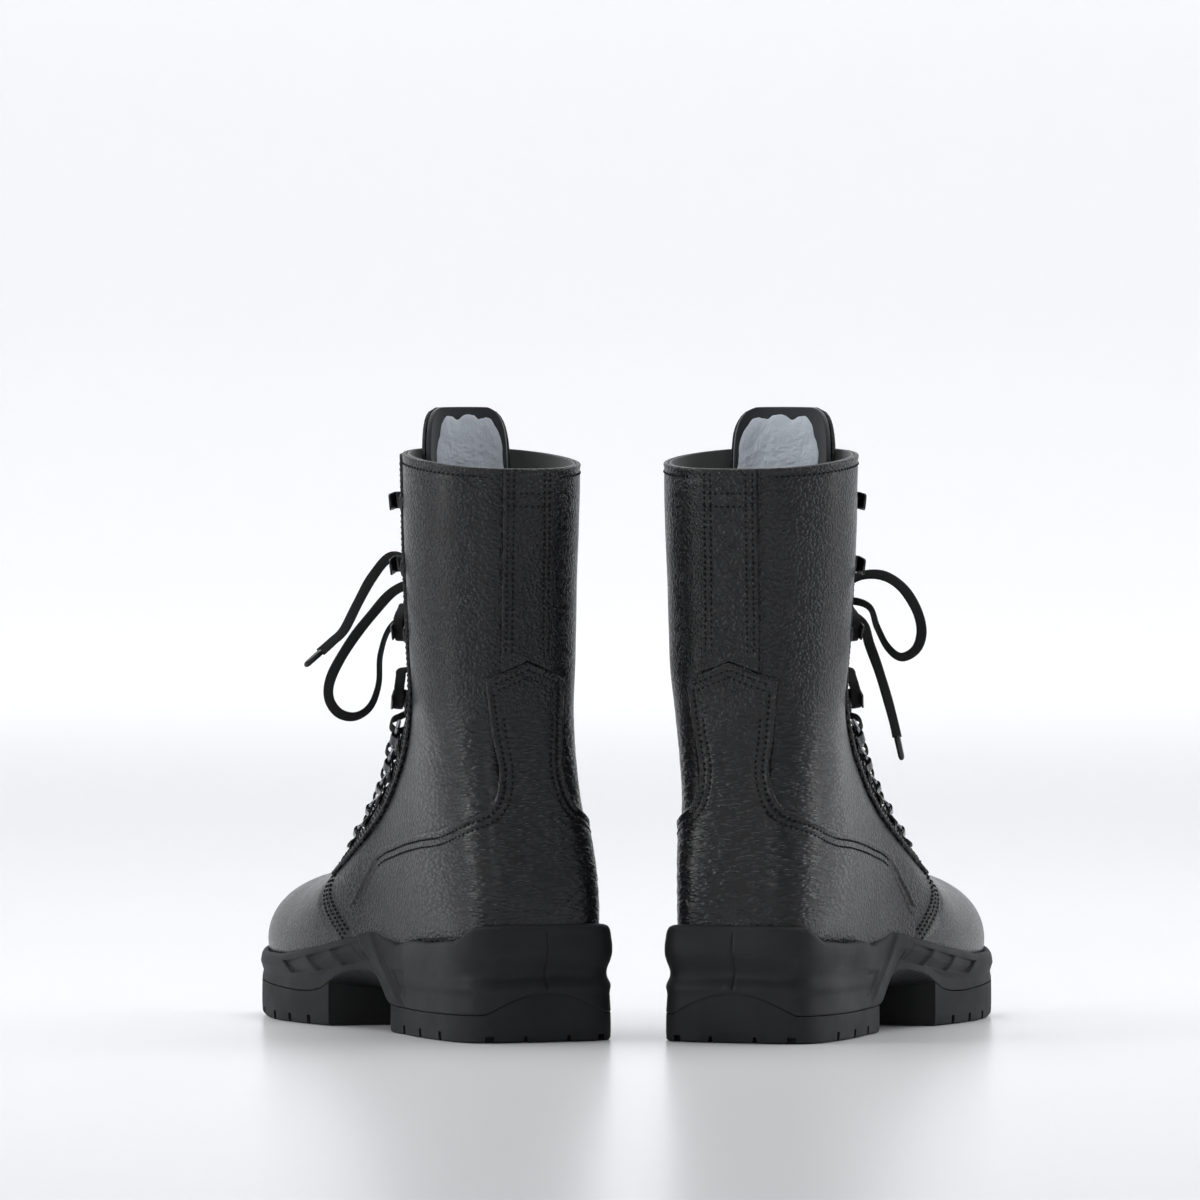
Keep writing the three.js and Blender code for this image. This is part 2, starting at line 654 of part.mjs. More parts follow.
// Free parts of the bow in the boot's frame, [across, forward, up], from the knot outwards.
const BOW = {
  left: {
    loops: [
      [[2, 122, 221], [18, 125, 227], [33, 120, 224], [48, 114, 212], [62, 109, 198], [74, 104, 182],
        [77, 101, 171], [72, 100, 163], [62, 102, 161], [52, 106, 166], [45, 112, 177], [41, 119, 192],
        [32, 126, 206], [17, 127, 213], [2, 122, 218]],
      [[-2, 122, 221], [-18, 122, 224], [-31, 120, 219], [-42, 115, 208], [-50, 110, 195],
        [-54, 107, 181], [-50, 108, 171], [-43, 114, 171], [-39, 119, 180], [-34, 124, 195],
        [-21, 127, 208], [-2, 122, 218]],
    ],
    ends: [
      [[2, 123, 221], [14, 126, 232], [26, 122, 240], [38, 115, 241], [50, 109, 231], [60, 104, 218],
        [69, 100, 205], [77, 97, 199], [84, 95, 194]],
      [[-2, 123, 217], [-15, 126, 206], [-25, 127, 194], [-33, 127, 178], [-39, 127, 160],
        [-43, 128, 144], [-46, 129, 132]],
    ],
  },
  right: {
    loops: [
      [[2, 122, 221], [15, 122, 227], [27, 118, 232], [40, 114, 232], [52, 109, 226], [61, 105, 215],
        [64, 104, 204], [61, 104, 195], [53, 104, 191], [45, 106, 196], [38, 110, 206], [30, 120, 216],
        [17, 125, 219], [2, 122, 218]],
      [[-2, 122, 221], [-18, 123, 224], [-32, 121, 219], [-44, 117, 208], [-52, 112, 195],
        [-57, 108, 181], [-53, 110, 171], [-45, 117, 171], [-41, 122, 180], [-35, 127, 195],
        [-21, 129, 208], [-2, 122, 218]],
    ],
    ends: [
      [[2, 123, 217], [14, 128, 213], [25, 125, 207], [31, 118, 197], [36, 117, 185], [41, 116, 171],
        [45, 116, 157], [47, 115, 150]],
      [[-2, 123, 217], [-15, 128, 206], [-25, 130, 194], [-34, 130, 178], [-40, 130, 160],
        [-44, 131, 144], [-47, 132, 132]],
    ],
  },
};

function freeLace(points, sides) {
  const curve = new THREE.CatmullRomCurve3(points.map((p) => new THREE.Vector3(...p)));
  const steps = points.length - 1;
  const stations = curve.getSpacedPoints(steps).map((at, i) => ({
    at,
    wide: new THREE.Vector3(0, 1, 0).addScaledVector(new THREE.Vector3(0, 0, sides), i / steps),
  }));
  return solidOf(ribbon(stations, LACE_WIDTH, LACE_THICK));
}

function makeBow(name) {
  const knot = new THREE.SphereGeometry(1, 8, 5).scale(...KNOT).translate(...KNOT_AT);
  const { loops, ends } = BOW[name];
  const free = [...loops.map((p) => freeLace(p, 0)), ...ends.map((p) => freeLace(p, 0.4))];
  return geometryOf(join([solidOf(knot), ...free]));
}

function makeAglet(points) {
  const [before, tip] = points.slice(-2).map((p) => new THREE.Vector3(...p));
  const along = tip.clone().sub(before).normalize();
  const body = new THREE.CylinderGeometry(AGLET_RADIUS, AGLET_RADIUS, AGLET_LENGTH, 8);
  const turn = new THREE.Quaternion().setFromUnitVectors(new THREE.Vector3(0, 1, 0), along);
  body.applyQuaternion(turn);
  const centre = tip.clone().addScaledVector(along, GAP + 0.2 + AGLET_LENGTH / 2);
  return body.translate(...centre.toArray());
}

// ---------------------------------------------------------------- materials
const finish = (color, roughness, metalness = 0) =>
  new THREE.MeshStandardMaterial({ color, roughness, metalness });
const MATERIALS = {
  leather: finish(0x17181a, 0.45),
  vampLeather: finish(0x1b1c1f, 0.36),
  lining: finish(0x2a302e, 0.9),
  rubber: finish(0x141414, 0.75),
  foam: finish(0x18191a, 0.65),
  board: finish(0x8a7a5e, 0.9),
  steel: finish(0x9a9da0, 0.35, 1),
  hardware: finish(0x202124, 0.35, 0.8),
  ring: finish(0x8d9095, 0.28, 1),
  lace: finish(0x121213, 0.85),
  aglet: finish(0x0d0d0e, 0.3),
  tongue: finish(0x202225, 0.6),
};

// ---------------------------------------------------------------- assembly
function makeBoot(boot) {
  const group = new THREE.Group();
  const last = lastOf(boot);
  const add = (name, geometry, material) => {
    const mesh = new THREE.Mesh(geometry, MATERIALS[material].clone());
    mesh.name = boot.name + "_" + name;
    group.add(mesh);
    return mesh;
  };
  add("outsole", makeOutsole(), "rubber");
  add("midsole", makeMidsole(last), "foam");
  add("shank", makeShank(), "steel").applyMatrix4(shankPlace());
  add("insole_board", makeLayer(0.48, 7.6, 9.1), "board");
  add("footbed", makeLayer(0.5, 9.7, 12.7), "lining");
  add("vamp", makeVamp(last), "vampLeather");
  add("quarter_outer", makeQuarter(last, 1), "leather");
  add("quarter_inner", makeQuarter(last, -1), "leather");
  add("heel_counter", makeCounter(last), "leather");
  add("backstay", makeBackstay(last), "leather");
  add("vamp_lining", makeVampLining(last), "lining");
  add("shaft_lining", makeShaftLining(last), "lining");
  add("tongue", makeTongue(last), "tongue");
  add("tongue_leaf", makeTongueLeaf(last), "tongue");
  for (const [sideName, side] of [["outer", 1], ["inner", -1]]) {
    add("facing_" + sideName, makeFacing(last, side), "hardware");
    RING_HEIGHTS.forEach((z, i) => {
      const ring = add("ring_" + sideName + "_" + (i + 1), makeRing(), "ring");
      ring.applyMatrix4(onFacing(last, side, z, RING_INSET, BAR_HEIGHT));
    });
  }
  add("lace", makeLace(last), "lace");
  add("bow", makeBow(boot.name), "lace");
  BOW[boot.name].ends.forEach((points, i) => {
    add("aglet_" + ["outer", "inner"][i], makeAglet(points), "aglet");
  });
  group.scale.x = boot.side;
  group.rotation.z = (-boot.side * boot.toeOut * Math.PI) / 180;
  group.position.set(boot.back[0], boot.back[1], 0);
  return group;
}

const pair = new THREE.Group();
BOOTS.forEach((boot) => pair.add(makeBoot(boot)));
pair.position.set(...TO_CENTRE, 0);
export default pair;
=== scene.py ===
# Looks of a pair of black leather lace-up field boots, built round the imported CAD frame.
# Each boot is made in its own frame, in millimetres: x across (positive to the outer side of the
# foot), y forward from the back of the heel, z up from the floor.
import math

import bmesh
import bpy
import numpy as np
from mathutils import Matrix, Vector


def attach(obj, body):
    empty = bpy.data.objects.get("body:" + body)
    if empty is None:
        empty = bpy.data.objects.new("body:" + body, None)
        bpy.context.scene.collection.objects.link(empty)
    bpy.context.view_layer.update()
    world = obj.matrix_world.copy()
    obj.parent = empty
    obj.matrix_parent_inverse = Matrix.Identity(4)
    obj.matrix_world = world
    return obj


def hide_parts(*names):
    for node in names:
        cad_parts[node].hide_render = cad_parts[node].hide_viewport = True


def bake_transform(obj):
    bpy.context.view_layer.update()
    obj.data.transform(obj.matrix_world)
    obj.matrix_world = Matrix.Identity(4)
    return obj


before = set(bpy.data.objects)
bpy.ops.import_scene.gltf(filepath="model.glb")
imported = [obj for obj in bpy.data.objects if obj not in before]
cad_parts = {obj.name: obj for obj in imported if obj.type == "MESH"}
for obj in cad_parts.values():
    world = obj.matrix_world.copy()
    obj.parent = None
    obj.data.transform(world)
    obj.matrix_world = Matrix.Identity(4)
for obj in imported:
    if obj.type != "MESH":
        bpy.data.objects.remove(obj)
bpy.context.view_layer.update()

MM = 0.001

# ---------------------------------------------------------------- dimensions shared with the CAD
FACING_EDGE = 0.885             # u of the quarters' front edges
RIM_V = 17.0                    # v of the shaft's rim
LEATHER = 2.0                   # thickness of the upper
LINING = 1.4
FACING_TOP = 2.8                # top of the facing strip over the last
FACING_WIDTH = 21.0
RING_INSET = 5.0                # from the front edge to the rings' bars
HOOK_INSET = 11.0
RING_HEIGHTS = [95, 107.5, 120, 133, 147.5]
HOOK_HEIGHTS = [168, 204, 237, 270]
RING_WIRE = 1.1                 # radius
RING_REACH = 9.5
RING_HALF = 6.5
BAR_HEIGHT = 2.7                # of a ring's bar over the facing
LACE_WIDTH = 5.2
LACE_THICK = 1.2
LACE_LOOP = 3.5                 # from a ring's plane to the lace beside it
KNOT = np.array([7.5, 4.2, 5.5])
KNOT_AT = np.array([0.0, 121.0, 219.0])
LEAF_BASE_V = 15.1              # where the tongue's loose top begins
TONGUE_OUTSIDE = -LEATHER - LINING - 3 * LACE_THICK
TOE_TIP = np.array([0, 301.5, 33])
HALF_BACKSTAY = 13.5
TO_CENTRE = np.array([6.2, -133.2])

BOOTS = {
    "left": {"side": -1, "back": (-45.75, 0), "toe_out": 24, "lean": 4.5, "spread": 0.0},
    "right": {"side": 1, "back": (45.75, -8), "toe_out": 21, "lean": -7.0, "spread": 0.12},
}

# Sections of the last from the toe to the rim. Each row: forward and up of its low point, the same of
# its high point, half width on the outer and on the inner side, belly, squareness low and high.
SECTIONS = np.array([
    [299, 24, 302, 41, 13, 13, 1, 0.8, 0.9],
    [294, 21, 295, 57, 26, 25, 1.1, 0.6, 0.9],
    [280, 20, 279, 69, 37, 35, 1.3, 0.5, 0.88],
    [257, 20, 256, 75, 44, 41, 1.5, 0.45, 0.85],
    [228, 20, 227, 79, 48, 44, 1.6, 0.45, 0.85],
    [196, 21, 196, 89, 48.5, 44, 1.6, 0.45, 0.85],
    [163, 24, 170, 108, 44, 41, 1.6, 0.45, 0.8],
    [130, 29, 153, 127, 38, 38, 1.7, 0.45, 0.75],
    [90, 34, 144, 141, 36.5, 37, 1.8, 0.5, 0.72],
    [45, 37, 137, 154, 37, 37.5, 1.8, 0.55, 0.7],
    [12, 41, 130, 166, 37.5, 38, 1.7, 0.62, 0.7],
    [5, 72, 123, 179, 36.5, 37, 1.5, 0.7, 0.7],
    [11, 109, 117, 193, 36, 36, 1.25, 0.75, 0.7],
    [16, 146, 112, 211, 38, 38, 1.1, 0.78, 0.7],
    [17, 182, 109, 231, 40, 40.5, 1.05, 0.8, 0.7],
    [16, 218, 107, 253, 42, 42, 1, 0.8, 0.72],
    [15, 254, 107, 277, 43, 43, 1, 0.8, 0.74],
    [14, 287, 108, 297, 43.5, 43, 1, 0.8, 0.75],
    [14, 320, 109, 327, 43.5, 43, 1, 0.8, 0.75],
], float)

# The sole's outline from the middle of the back round the outer side, then the inner side.
OUTLINE = np.array([
    [0, 0], [20, 0.3], [34, 4], [42, 14], [45, 34], [44.5, 66], [41.5, 98], [41, 128], [47, 163],
    [52.5, 198], [53.5, 228], [50, 256], [39, 283], [20, 299], [-4, 304], [-26, 298], [-40, 280],
    [-47, 252], [-49, 220], [-47, 188], [-42, 155], [-39, 122], [-40.5, 95], [-43.5, 66], [-44, 34],
    [-41.5, 14], [-34, 4], [-20, 0.3],
], float)

# Upper edge of the cup along the foot.
CUP_TOP = np.array([
    [0, 59], [8, 58], [20, 51], [50, 48.5], [85, 48], [103, 45], [118, 47.5], [130, 50.5],
    [150, 47.5], [185, 40.5], [228, 34.5], [265, 34], [304, 38],
], float)

# Free parts of each bow, from the knot outwards, in the boot's frame.
BOW = {
    "left": {
        "loops": [
            [[2, 122, 221], [18, 125, 227], [33, 120, 224], [48, 114, 212], [62, 109, 198],
             [74, 104, 182], [77, 101, 171], [72, 100, 163], [62, 102, 161], [52, 106, 166],
             [45, 112, 177], [41, 119, 192], [32, 126, 206], [17, 127, 213], [2, 122, 218]],
            [[-2, 122, 221], [-18, 122, 224], [-31, 120, 219], [-42, 115, 208], [-50, 110, 195],
             [-54, 107, 181], [-50, 108, 171], [-43, 114, 171], [-39, 119, 180], [-34, 124, 195],
             [-21, 127, 208], [-2, 122, 218]],
        ],
        "ends": [
            [[2, 123, 221], [14, 126, 232], [26, 122, 240], [38, 115, 241], [50, 109, 231],
             [60, 104, 218], [69, 100, 205], [77, 97, 199], [84, 95, 194]],
            [[-2, 123, 217], [-15, 126, 206], [-25, 127, 194], [-33, 127, 178], [-39, 127, 160],
             [-43, 128, 144], [-46, 129, 132]],
        ],
    },
    "right": {
        "loops": [
            [[2, 122, 221], [15, 122, 227], [27, 118, 232], [40, 114, 232], [52, 109, 226],
             [61, 105, 215], [64, 104, 204], [61, 104, 195], [53, 104, 191], [45, 106, 196],
             [38, 110, 206], [30, 120, 216], [17, 125, 219], [2, 122, 218]],
            [[-2, 122, 221], [-18, 123, 224], [-32, 121, 219], [-44, 117, 208], [-52, 112, 195],
             [-57, 108, 181], [-53, 110, 171], [-45, 117, 171], [-41, 122, 180], [-35, 127, 195],
             [-21, 129, 208], [-2, 122, 218]],
        ],
        "ends": [
            [[2, 123, 217], [14, 128, 213], [25, 125, 207], [31, 118, 197], [36, 117, 185],
             [41, 116, 171], [45, 116, 157], [47, 115, 150]],
            [[-2, 123, 217], [-15, 128, 206], [-25, 130, 194], [-34, 130, 178], [-40, 130, 160],
             [-44, 131, 144], [-47, 132, 132]],
        ],
    },
}


def linked(name, data):
    """A new object, put in the scene."""
    obj = bpy.data.objects.new(name, data)
    bpy.context.scene.collection.objects.link(obj)
    return obj


# ---------------------------------------------------------------- camera
def make_camera():
    data = bpy.data.cameras.new("camera")
    data.sensor_width = 36
    data.lens = 330
    data.clip_start = 0.5
    data.clip_end = 40
    camera = linked("camera", data)
    camera.location = (-0.0138, -5.6332, 0.341)
    camera.rotation_euler = (math.radians(90 - 1.245), 0, 0)
    bpy.context.scene.camera = camera


make_camera()


# ---------------------------------------------------------------- numbers
def mix(a, b, t):
    return a + (b - a) * t


def smooth(a, b, x):
    t = np.clip((np.asarray(x, float) - a) / (b - a), 0, 1)
    return t * t * (3 - 2 * t)


def bump(x, centre, width):
    """1 at centre, falling smoothly to 0 at a distance of width."""
    return 1 - smooth(0, width, np.abs(np.asarray(x, float) - centre))


def spline(rows, t):
    """Catmull-Rom curve through evenly numbered rows, at each t."""
    rows = np.asarray(rows, float)
    flat = rows.ndim == 1
    if flat:
        rows = rows[:, None]
    t = np.asarray(t, float)
    n = len(rows)
    i = np.clip(np.floor(t).astype(int), 0, n - 2)
    f = (t - i)[..., None]
    a, b, c, d = (rows[np.clip(i + k, 0, n - 1)] for k in (-1, 0, 1, 2))
    made = b + 0.5 * f * (c - a + f * (2 * a - 5 * b + 4 * c - d + f * (3 * (b - c) + d - a)))
    return made[..., 0] if flat else made


def table(rows, x):
    rows = np.asarray(rows, float)
    return np.interp(x, rows[:, 0], rows[:, 1])


def hashed(i, j, seed):
    n = (i.astype(np.int64) * 374761393 + j.astype(np.int64) * 668265263 + seed * 974634777) & 0xFFFFFFFF
    n = ((n ^ (n >> 13)) * 1274126177) & 0xFFFFFFFF
    return ((n ^ (n >> 16)) & 0xFFFF) / 65535.0


def noise(x, y, seed=0):
    """Smooth noise from -1 to 1 over a plane, the same at each run."""
    x, y = np.asarray(x, float), np.asarray(y, float)
    i, j = np.floor(x).astype(int), np.floor(y).astype(int)
    fx, fy = x - i, y - j
    fx, fy = fx * fx * (3 - 2 * fx), fy * fy * (3 - 2 * fy)
    low = mix(hashed(i, j, seed), hashed(i + 1, j, seed), fx)
    high = mix(hashed(i, j + 1, seed), hashed(i + 1, j + 1, seed), fx)
    return 2 * mix(low, high, fy) - 1


def turns(count):
    """Even angles all the way round."""
    return np.linspace(0, 2 * math.pi, count, endpoint=False)


def unit(v):
    return v / np.maximum(np.linalg.norm(v, axis=-1, keepdims=True), 1e-12)


def arc_lengths(points):
    steps = np.linalg.norm(np.diff(points, axis=0), axis=1)
    return np.concatenate([[0], np.cumsum(steps)])


def read_rows(rows, run, at):
    """Rows read at distances along a line whose rows lie at the distances run."""
    return np.stack([np.interp(at, run, rows[:, k]) for k in range(rows.shape[1])], axis=-1)


def resample(points, spacing=None, count=None):
    """Points at even distances along a line of points."""
    run = arc_lengths(points)
    if count is None:
        count = max(int(round(run[-1] / spacing)), 1) + 1
    return read_rows(points, run, np.linspace(0, run[-1], count))


# ---------------------------------------------------------------- the upper's surface
class Last:
    """The surface under the upper. u runs round a section from 0 at the back to 1 at the front, and is
    negative on the inner side; v runs from the toe to the rim."""

    def __init__(self, boot):
        self.boot = boot

    def section(self, v):
        return spline(SECTIONS, v)

    def point(self, u, v):
        u, v = np.broadcast_arrays(np.asarray(u, float), np.asarray(v, float))
        u = np.where(u > 1, u - 2, np.where(u < -1, u + 2, u))
        side = np.where(u < 0, -1.0, 1.0)
        turn = np.clip(np.abs(u), 0, 1) * math.pi
        s = self.section(v)
        around = (1 - np.cos(turn)) / 2
        share = around ** s[..., 6]
        y = mix(s[..., 0], s[..., 2], share)
        z = mix(s[..., 1], s[..., 3], share)
        half = np.where(side < 0, s[..., 5], s[..., 4])
        half = half * np.maximum(np.sin(turn), 0) ** mix(s[..., 7], s[..., 8], around)
        rise = smooth(60, 190, z)
        x = side * half * (1 + self.boot["spread"] * rise) + self.boot["lean"] * rise
        return np.stack([x, y, z], axis=-1)

    def normal(self, u, v):
        u, v = np.broadcast_arrays(np.asarray(u, float), np.asarray(v, float))
        across = self.point(u + 0.004, v) - self.point(u - 0.004, v)
        along = self.point(u, np.minimum(v + 0.02, 18)) - self.point(u, np.maximum(v - 0.02, 0))
        s = self.section(v)
        zero = np.zeros_like(s[..., 0])
        middle = np.stack([zero, (s[..., 0] + s[..., 2]) / 2, (s[..., 1] + s[..., 3]) / 2], axis=-1)
        n = unit(np.cross(across, along))
        inward = np.sum(n * (self.point(u, v) - middle), axis=-1, keepdims=True) < 0
        return np.where(inward, -n, n)

    def lifted(self, u, v, lift):
        return self.point(u, v) + self.normal(u, v) * np.asarray(lift, float)[..., None]

    def on_side(self, y, z):
        """The place with a given side view, forward and up."""
        low, high = 0.0, 17.5
        for _ in range(40):
            v = (low + high) / 2
            s = self.section(v)
            beside = (s[2] - s[0]) * (z - s[1]) - (s[3] - s[1]) * (y - s[0])
            low, high = (v, high) if beside > 0 else (low, v)
        s = self.section(low)
        run = np.array([s[2] - s[0], s[3] - s[1]])
        along = (y - s[0]) * run[0] + (z - s[1]) * run[1]
        share = min(max(along / (run @ run), 0), 1) ** (1 / s[6])
        return [math.acos(1 - 2 * share) / math.pi, low]

    def on_back(self, x, z):
        """The place on the back at a distance from its middle and a height."""
        low, high = 9.0, 17.9

        def around(v):
            s = self.section(v)
            return math.asin(min(max(x / s[4], 0), 1) ** (1 / s[7])) / math.pi

        for _ in range(40):
            v = (low + high) / 2
            low, high = (v, high) if self.point(around(v), v)[2] < z else (low, v)
        return [around(low), low]

    def behind_edge(self, side, v, distance):
        """The place on each row v at a distance behind the facing edge."""
        levels = np.atleast_1d(v).astype(float)
        steps = FACING_EDGE - 0.002 * np.arange(120)
        line = self.point(side * steps[None, :], levels[:, None])
        run = np.cumsum(np.linalg.norm(np.diff(line, axis=1), axis=2), axis=1)
        made = side * steps[1 + np.argmax(run >= distance, axis=1)]
        return made if np.ndim(v) else float(made[0])

    def hardware_at(self, side, z, distance):
        low, high = 4.0, 17.5
        for _ in range(24):
            v = (low + high) / 2
            below = self.point(self.behind_edge(side, v, distance), v)[2] < z
            low, high = (v, high) if below else (low, v)
        return self.behind_edge(side, low, distance), low

    def frame(self, u, v, lift):
        """Origin and axes at a place: x towards the middle of the lacing, z out of the leather."""
        z = self.normal(u, v)
        step = -0.01 if u < 0 else 0.01
        x = self.point(u + step, v) - self.point(u, v)
        x = unit(x - z * (x @ z))
        return self.lifted(u, v, lift), np.stack([x, np.cross(z, x), z])


# ---------------------------------------------------------------- making meshes
def placed(boot, points):
    """Points of the boot's frame, in mm, as points of the row frame, in metres."""
    points = np.asarray(points, float)
    angle = math.radians(-boot["side"] * boot["toe_out"])
    c, s = math.cos(angle), math.sin(angle)
    x, y = boot["side"] * points[..., 0], points[..., 1]
    made = np.stack([
        c * x - s * y + boot["back"][0] + TO_CENTRE[0],
        s * x + c * y + boot["back"][1] + TO_CENTRE[1],
        points[..., 2],
    ], axis=-1)
    return made * MM


def new_object(name, points, faces, material, body, smooth_angle=40):
    mesh = bpy.data.meshes.new(name)
    mesh.from_pydata([tuple(p) for p in points], [], faces)
    mesh.update()
    work = bmesh.new()
    work.from_mesh(mesh)
    bmesh.ops.remove_doubles(work, verts=work.verts, dist=1e-6)
    bmesh.ops.dissolve_degenerate(work, dist=1e-7, edges=work.edges)
    bmesh.ops.recalc_face_normals(work, faces=work.faces)
    work.to_mesh(mesh)
    work.free()
    mesh.shade_smooth()
    mesh.set_sharp_from_angle(angle=math.radians(smooth_angle))
    obj = linked(name, mesh)
    mesh.materials.append(material)
    if body is not None:
        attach(obj, body)
    return obj


def solid(name, boot, shape, material, smooth_angle, body=None):
    """A piece of a boot from (points, faces) in the boot's frame."""
    points, faces = shape
    return new_object(name, placed(boot, points), faces, M[material], body or boot["body"], smooth_angle)


def grid_faces(rows, columns, start=0, close_rows=False, close_columns=False):
    faces = []
    for r in range(rows if close_rows else rows - 1):
        for c in range(columns if close_columns else columns - 1):
            r1, c1 = (r + 1) % rows, (c + 1) % columns
            faces.append((start + r * columns + c, start + r * columns + c1,
                          start + r1 * columns + c1, start + r1 * columns + c))
    return faces


def pipe_faces(rows, sides, close=False):
    """Faces of a tube of rings, with end caps unless its ends meet."""
    faces = grid_faces(rows, sides, close_rows=close, close_columns=True)
    if not close:
        faces += [tuple(range(sides))[::-1], tuple((rows - 1) * sides + k for k in range(sides))]
    return faces


def slab(outer, inner):
    """A closed sheet between two grids of points of the same shape, as points and faces."""
    rows, columns = outer.shape[:2]
    count = rows * columns
    points = np.concatenate([outer.reshape(-1, 3), inner.reshape(-1, 3)])
    faces = grid_faces(rows, columns)
    faces += [tuple(reversed(f)) for f in grid_faces(rows, columns, count)]
    border = [(0, c) for c in range(columns)] + [(r, columns - 1) for r in range(1, rows)]
    border += [(rows - 1, c) for c in range(columns - 2, -1, -1)] + [(r, 0) for r in range(rows - 2, 0, -1)]
    ids = [r * columns + c for r, c in border]
    for k, a in enumerate(ids):
        b = ids[(k + 1) % len(ids)]
        faces.append((b, a, a + count, b + count))
    return points, faces


def spread_steps(count, share):
    """From 0 to 1, with a few close steps in a share of both ends for a rounded edge."""
    close = np.array([0, 0.08, 0.25, 0.5, 1.0]) * share
    middle = np.linspace(share, 1 - share, count)
    return np.concatenate([close[:-1], middle, 1 - close[:-1][::-1]])


def lattice(a, b):
    return np.meshgrid(a, b, indexing="ij")


def edge_distance(points, which="all"):
    """Distance of each point of a grid to the nearest of its four edges, measured along its lines."""
    down = np.linalg.norm(np.diff(points, axis=0), axis=2)
    down = np.concatenate([np.zeros((1, points.shape[1])), np.cumsum(down, axis=0)])
    across = np.linalg.norm(np.diff(points, axis=1), axis=2)
    across = np.concatenate([np.zeros((points.shape[0], 1)), np.cumsum(across, axis=1)], axis=1)
    sides = {"first_row": down, "last_row": down[-1] - down,
             "first_column": across, "last_column": across[:, -1:] - across}
    keep = sides if which == "all" else {k: sides[k] for k in which}
    return np.min(np.stack(list(keep.values())), axis=0)


def rounded(distance, radius):
    """How far a surface drops at a distance from a rounded edge."""
    t = np.clip(distance / radius, 0, 1)
    return radius * (1 - np.sqrt(np.maximum(1 - (1 - t) ** 2, 0)))


def leather(name, boot, last, u, v, top, thickness, material, relief=None, radius=0.8, loose=False,
            pinch=None):
    """A panel over a grid of places, with rounded edges, top mm above the last; pinch draws it in to
    the toe's tip."""
    base = last.point(u, v)
    drop = rounded(edge_distance(base), min(radius, 0.6 * thickness))
    lift = top - drop
    if relief is not None:
        lift = lift + relief(base, u, v)
    outer = base + last.normal(u, v) * lift[..., None]
    inner = last.lifted(u, v, np.full(u.shape, top - thickness) + 0.3 * drop)
    if pinch is not None:
        outer = TOE_TIP + (outer - TOE_TIP) * pinch[..., None]
        inner = TOE_TIP - [0, thickness, 0] + (inner - TOE_TIP) * pinch[..., None]
    points, faces = slab(placed(boot, outer), placed(boot, inner))
    return new_object(name, points, faces, material, None if loose else boot["body"])


def tube(points, radii, sides=8, close=False, up=(0, 0, 1)):
    """A round bar along a line of points, as points and faces, with end caps unless closed."""
    points = np.asarray(points, float)
    n = len(points)
    if close:
        along = unit(np.roll(points, -1, axis=0) - np.roll(points, 1, axis=0))
    else:
        along = unit(np.gradient(points, axis=0))
    side = np.array(up, float)
    made = []
    for k in range(n):
        side = side - along[k] * (side @ along[k])
        if np.linalg.norm(side) < 1e-6:
            side = np.cross(along[k], [1, 0, 0])
        side = side / np.linalg.norm(side)
        other = np.cross(along[k], side)
        turn = turns(sides)
        r = radii if np.isscalar(radii) else radii[k]
        made.append(points[k] + r * (np.cos(turn)[:, None] * side + np.sin(turn)[:, None] * other))
    return np.concatenate(made), pipe_faces(n, sides, close)


def merged(pieces):
    """Several (points, faces) as one."""
    points, faces, start = [], [], 0
    for p, f in pieces:
        points.append(p)
        faces += [tuple(start + i for i in face) for face in f]
        start += len(p)
    return np.concatenate(points), faces


# ---------------------------------------------------------------- materials
def shader(name, color, roughness, metallic=0.0, **sockets):
    material = bpy.data.materials.new(name)
    material.use_nodes = True
    surface = material.node_tree.nodes["Principled BSDF"]
    surface.inputs["Base Color"].default_value = (*color, 1)
    surface.inputs["Roughness"].default_value = roughness
    surface.inputs["Metallic"].default_value = metallic
    for key, value in sockets.items():
        surface.inputs[key.replace("_", " ")].default_value = value
    return material, material.node_tree, surface


def join(output, socket):
    socket.id_data.links.new(output, socket)


def node(tree, kind, **values):
    made = tree.nodes.new(kind)
    for key, value in values.items():
        if key in made.inputs:
            made.inputs[key].default_value = value
        else:
            setattr(made, key, value)
    return made


def coordinates(tree, scale=(1, 1, 1), source="Object"):
    where = node(tree, "ShaderNodeTexCoord")
    mapping = node(tree, "ShaderNodeMapping", Scale=scale)
    join(where.outputs[source], mapping.inputs["Vector"])
    return mapping.outputs["Vector"]


def ramp(tree, value, stops):
    made = node(tree, "ShaderNodeValToRGB")
    elements = made.color_ramp.elements
    while len(elements) < len(stops):
        elements.new(0.5)
    for element, (at, color) in zip(elements, stops):
        element.position = at
        element.color = (*color, 1) if len(color) == 3 else color
    join(value, made.inputs["Fac"])
    return made.outputs["Color"]


def grey(level):
    return (level, level, level)


def tinted(color, share):
    return tuple(min(c * share, 1) for c in color)


def bumped(tree, height, distance, strength=1.0, under=None):
    made = node(tree, "ShaderNodeBump", Strength=strength, Distance=distance)
    join(height, made.inputs["Height"])
    if under is not None:
        join(under, made.inputs["Normal"])
    return made.outputs["Normal"]


def noise_node(tree, vector, scale, detail=4.0, rough=0.55):
    made = node(tree, "ShaderNodeTexNoise", Scale=scale, Detail=detail, Roughness=rough)
    join(vector, made.inputs["Vector"])
    return made.outputs["Fac"]


def mixed(tree, factor, one, other):
    made = node(tree, "ShaderNodeMix", data_type="FLOAT")
    for socket, value in ((made.inputs[0], factor), (made.inputs[2], one), (made.inputs[3], other)):
        if isinstance(value, (int, float)):
            socket.default_value = value
        else:
            join(value, socket)
    return made.outputs[0]


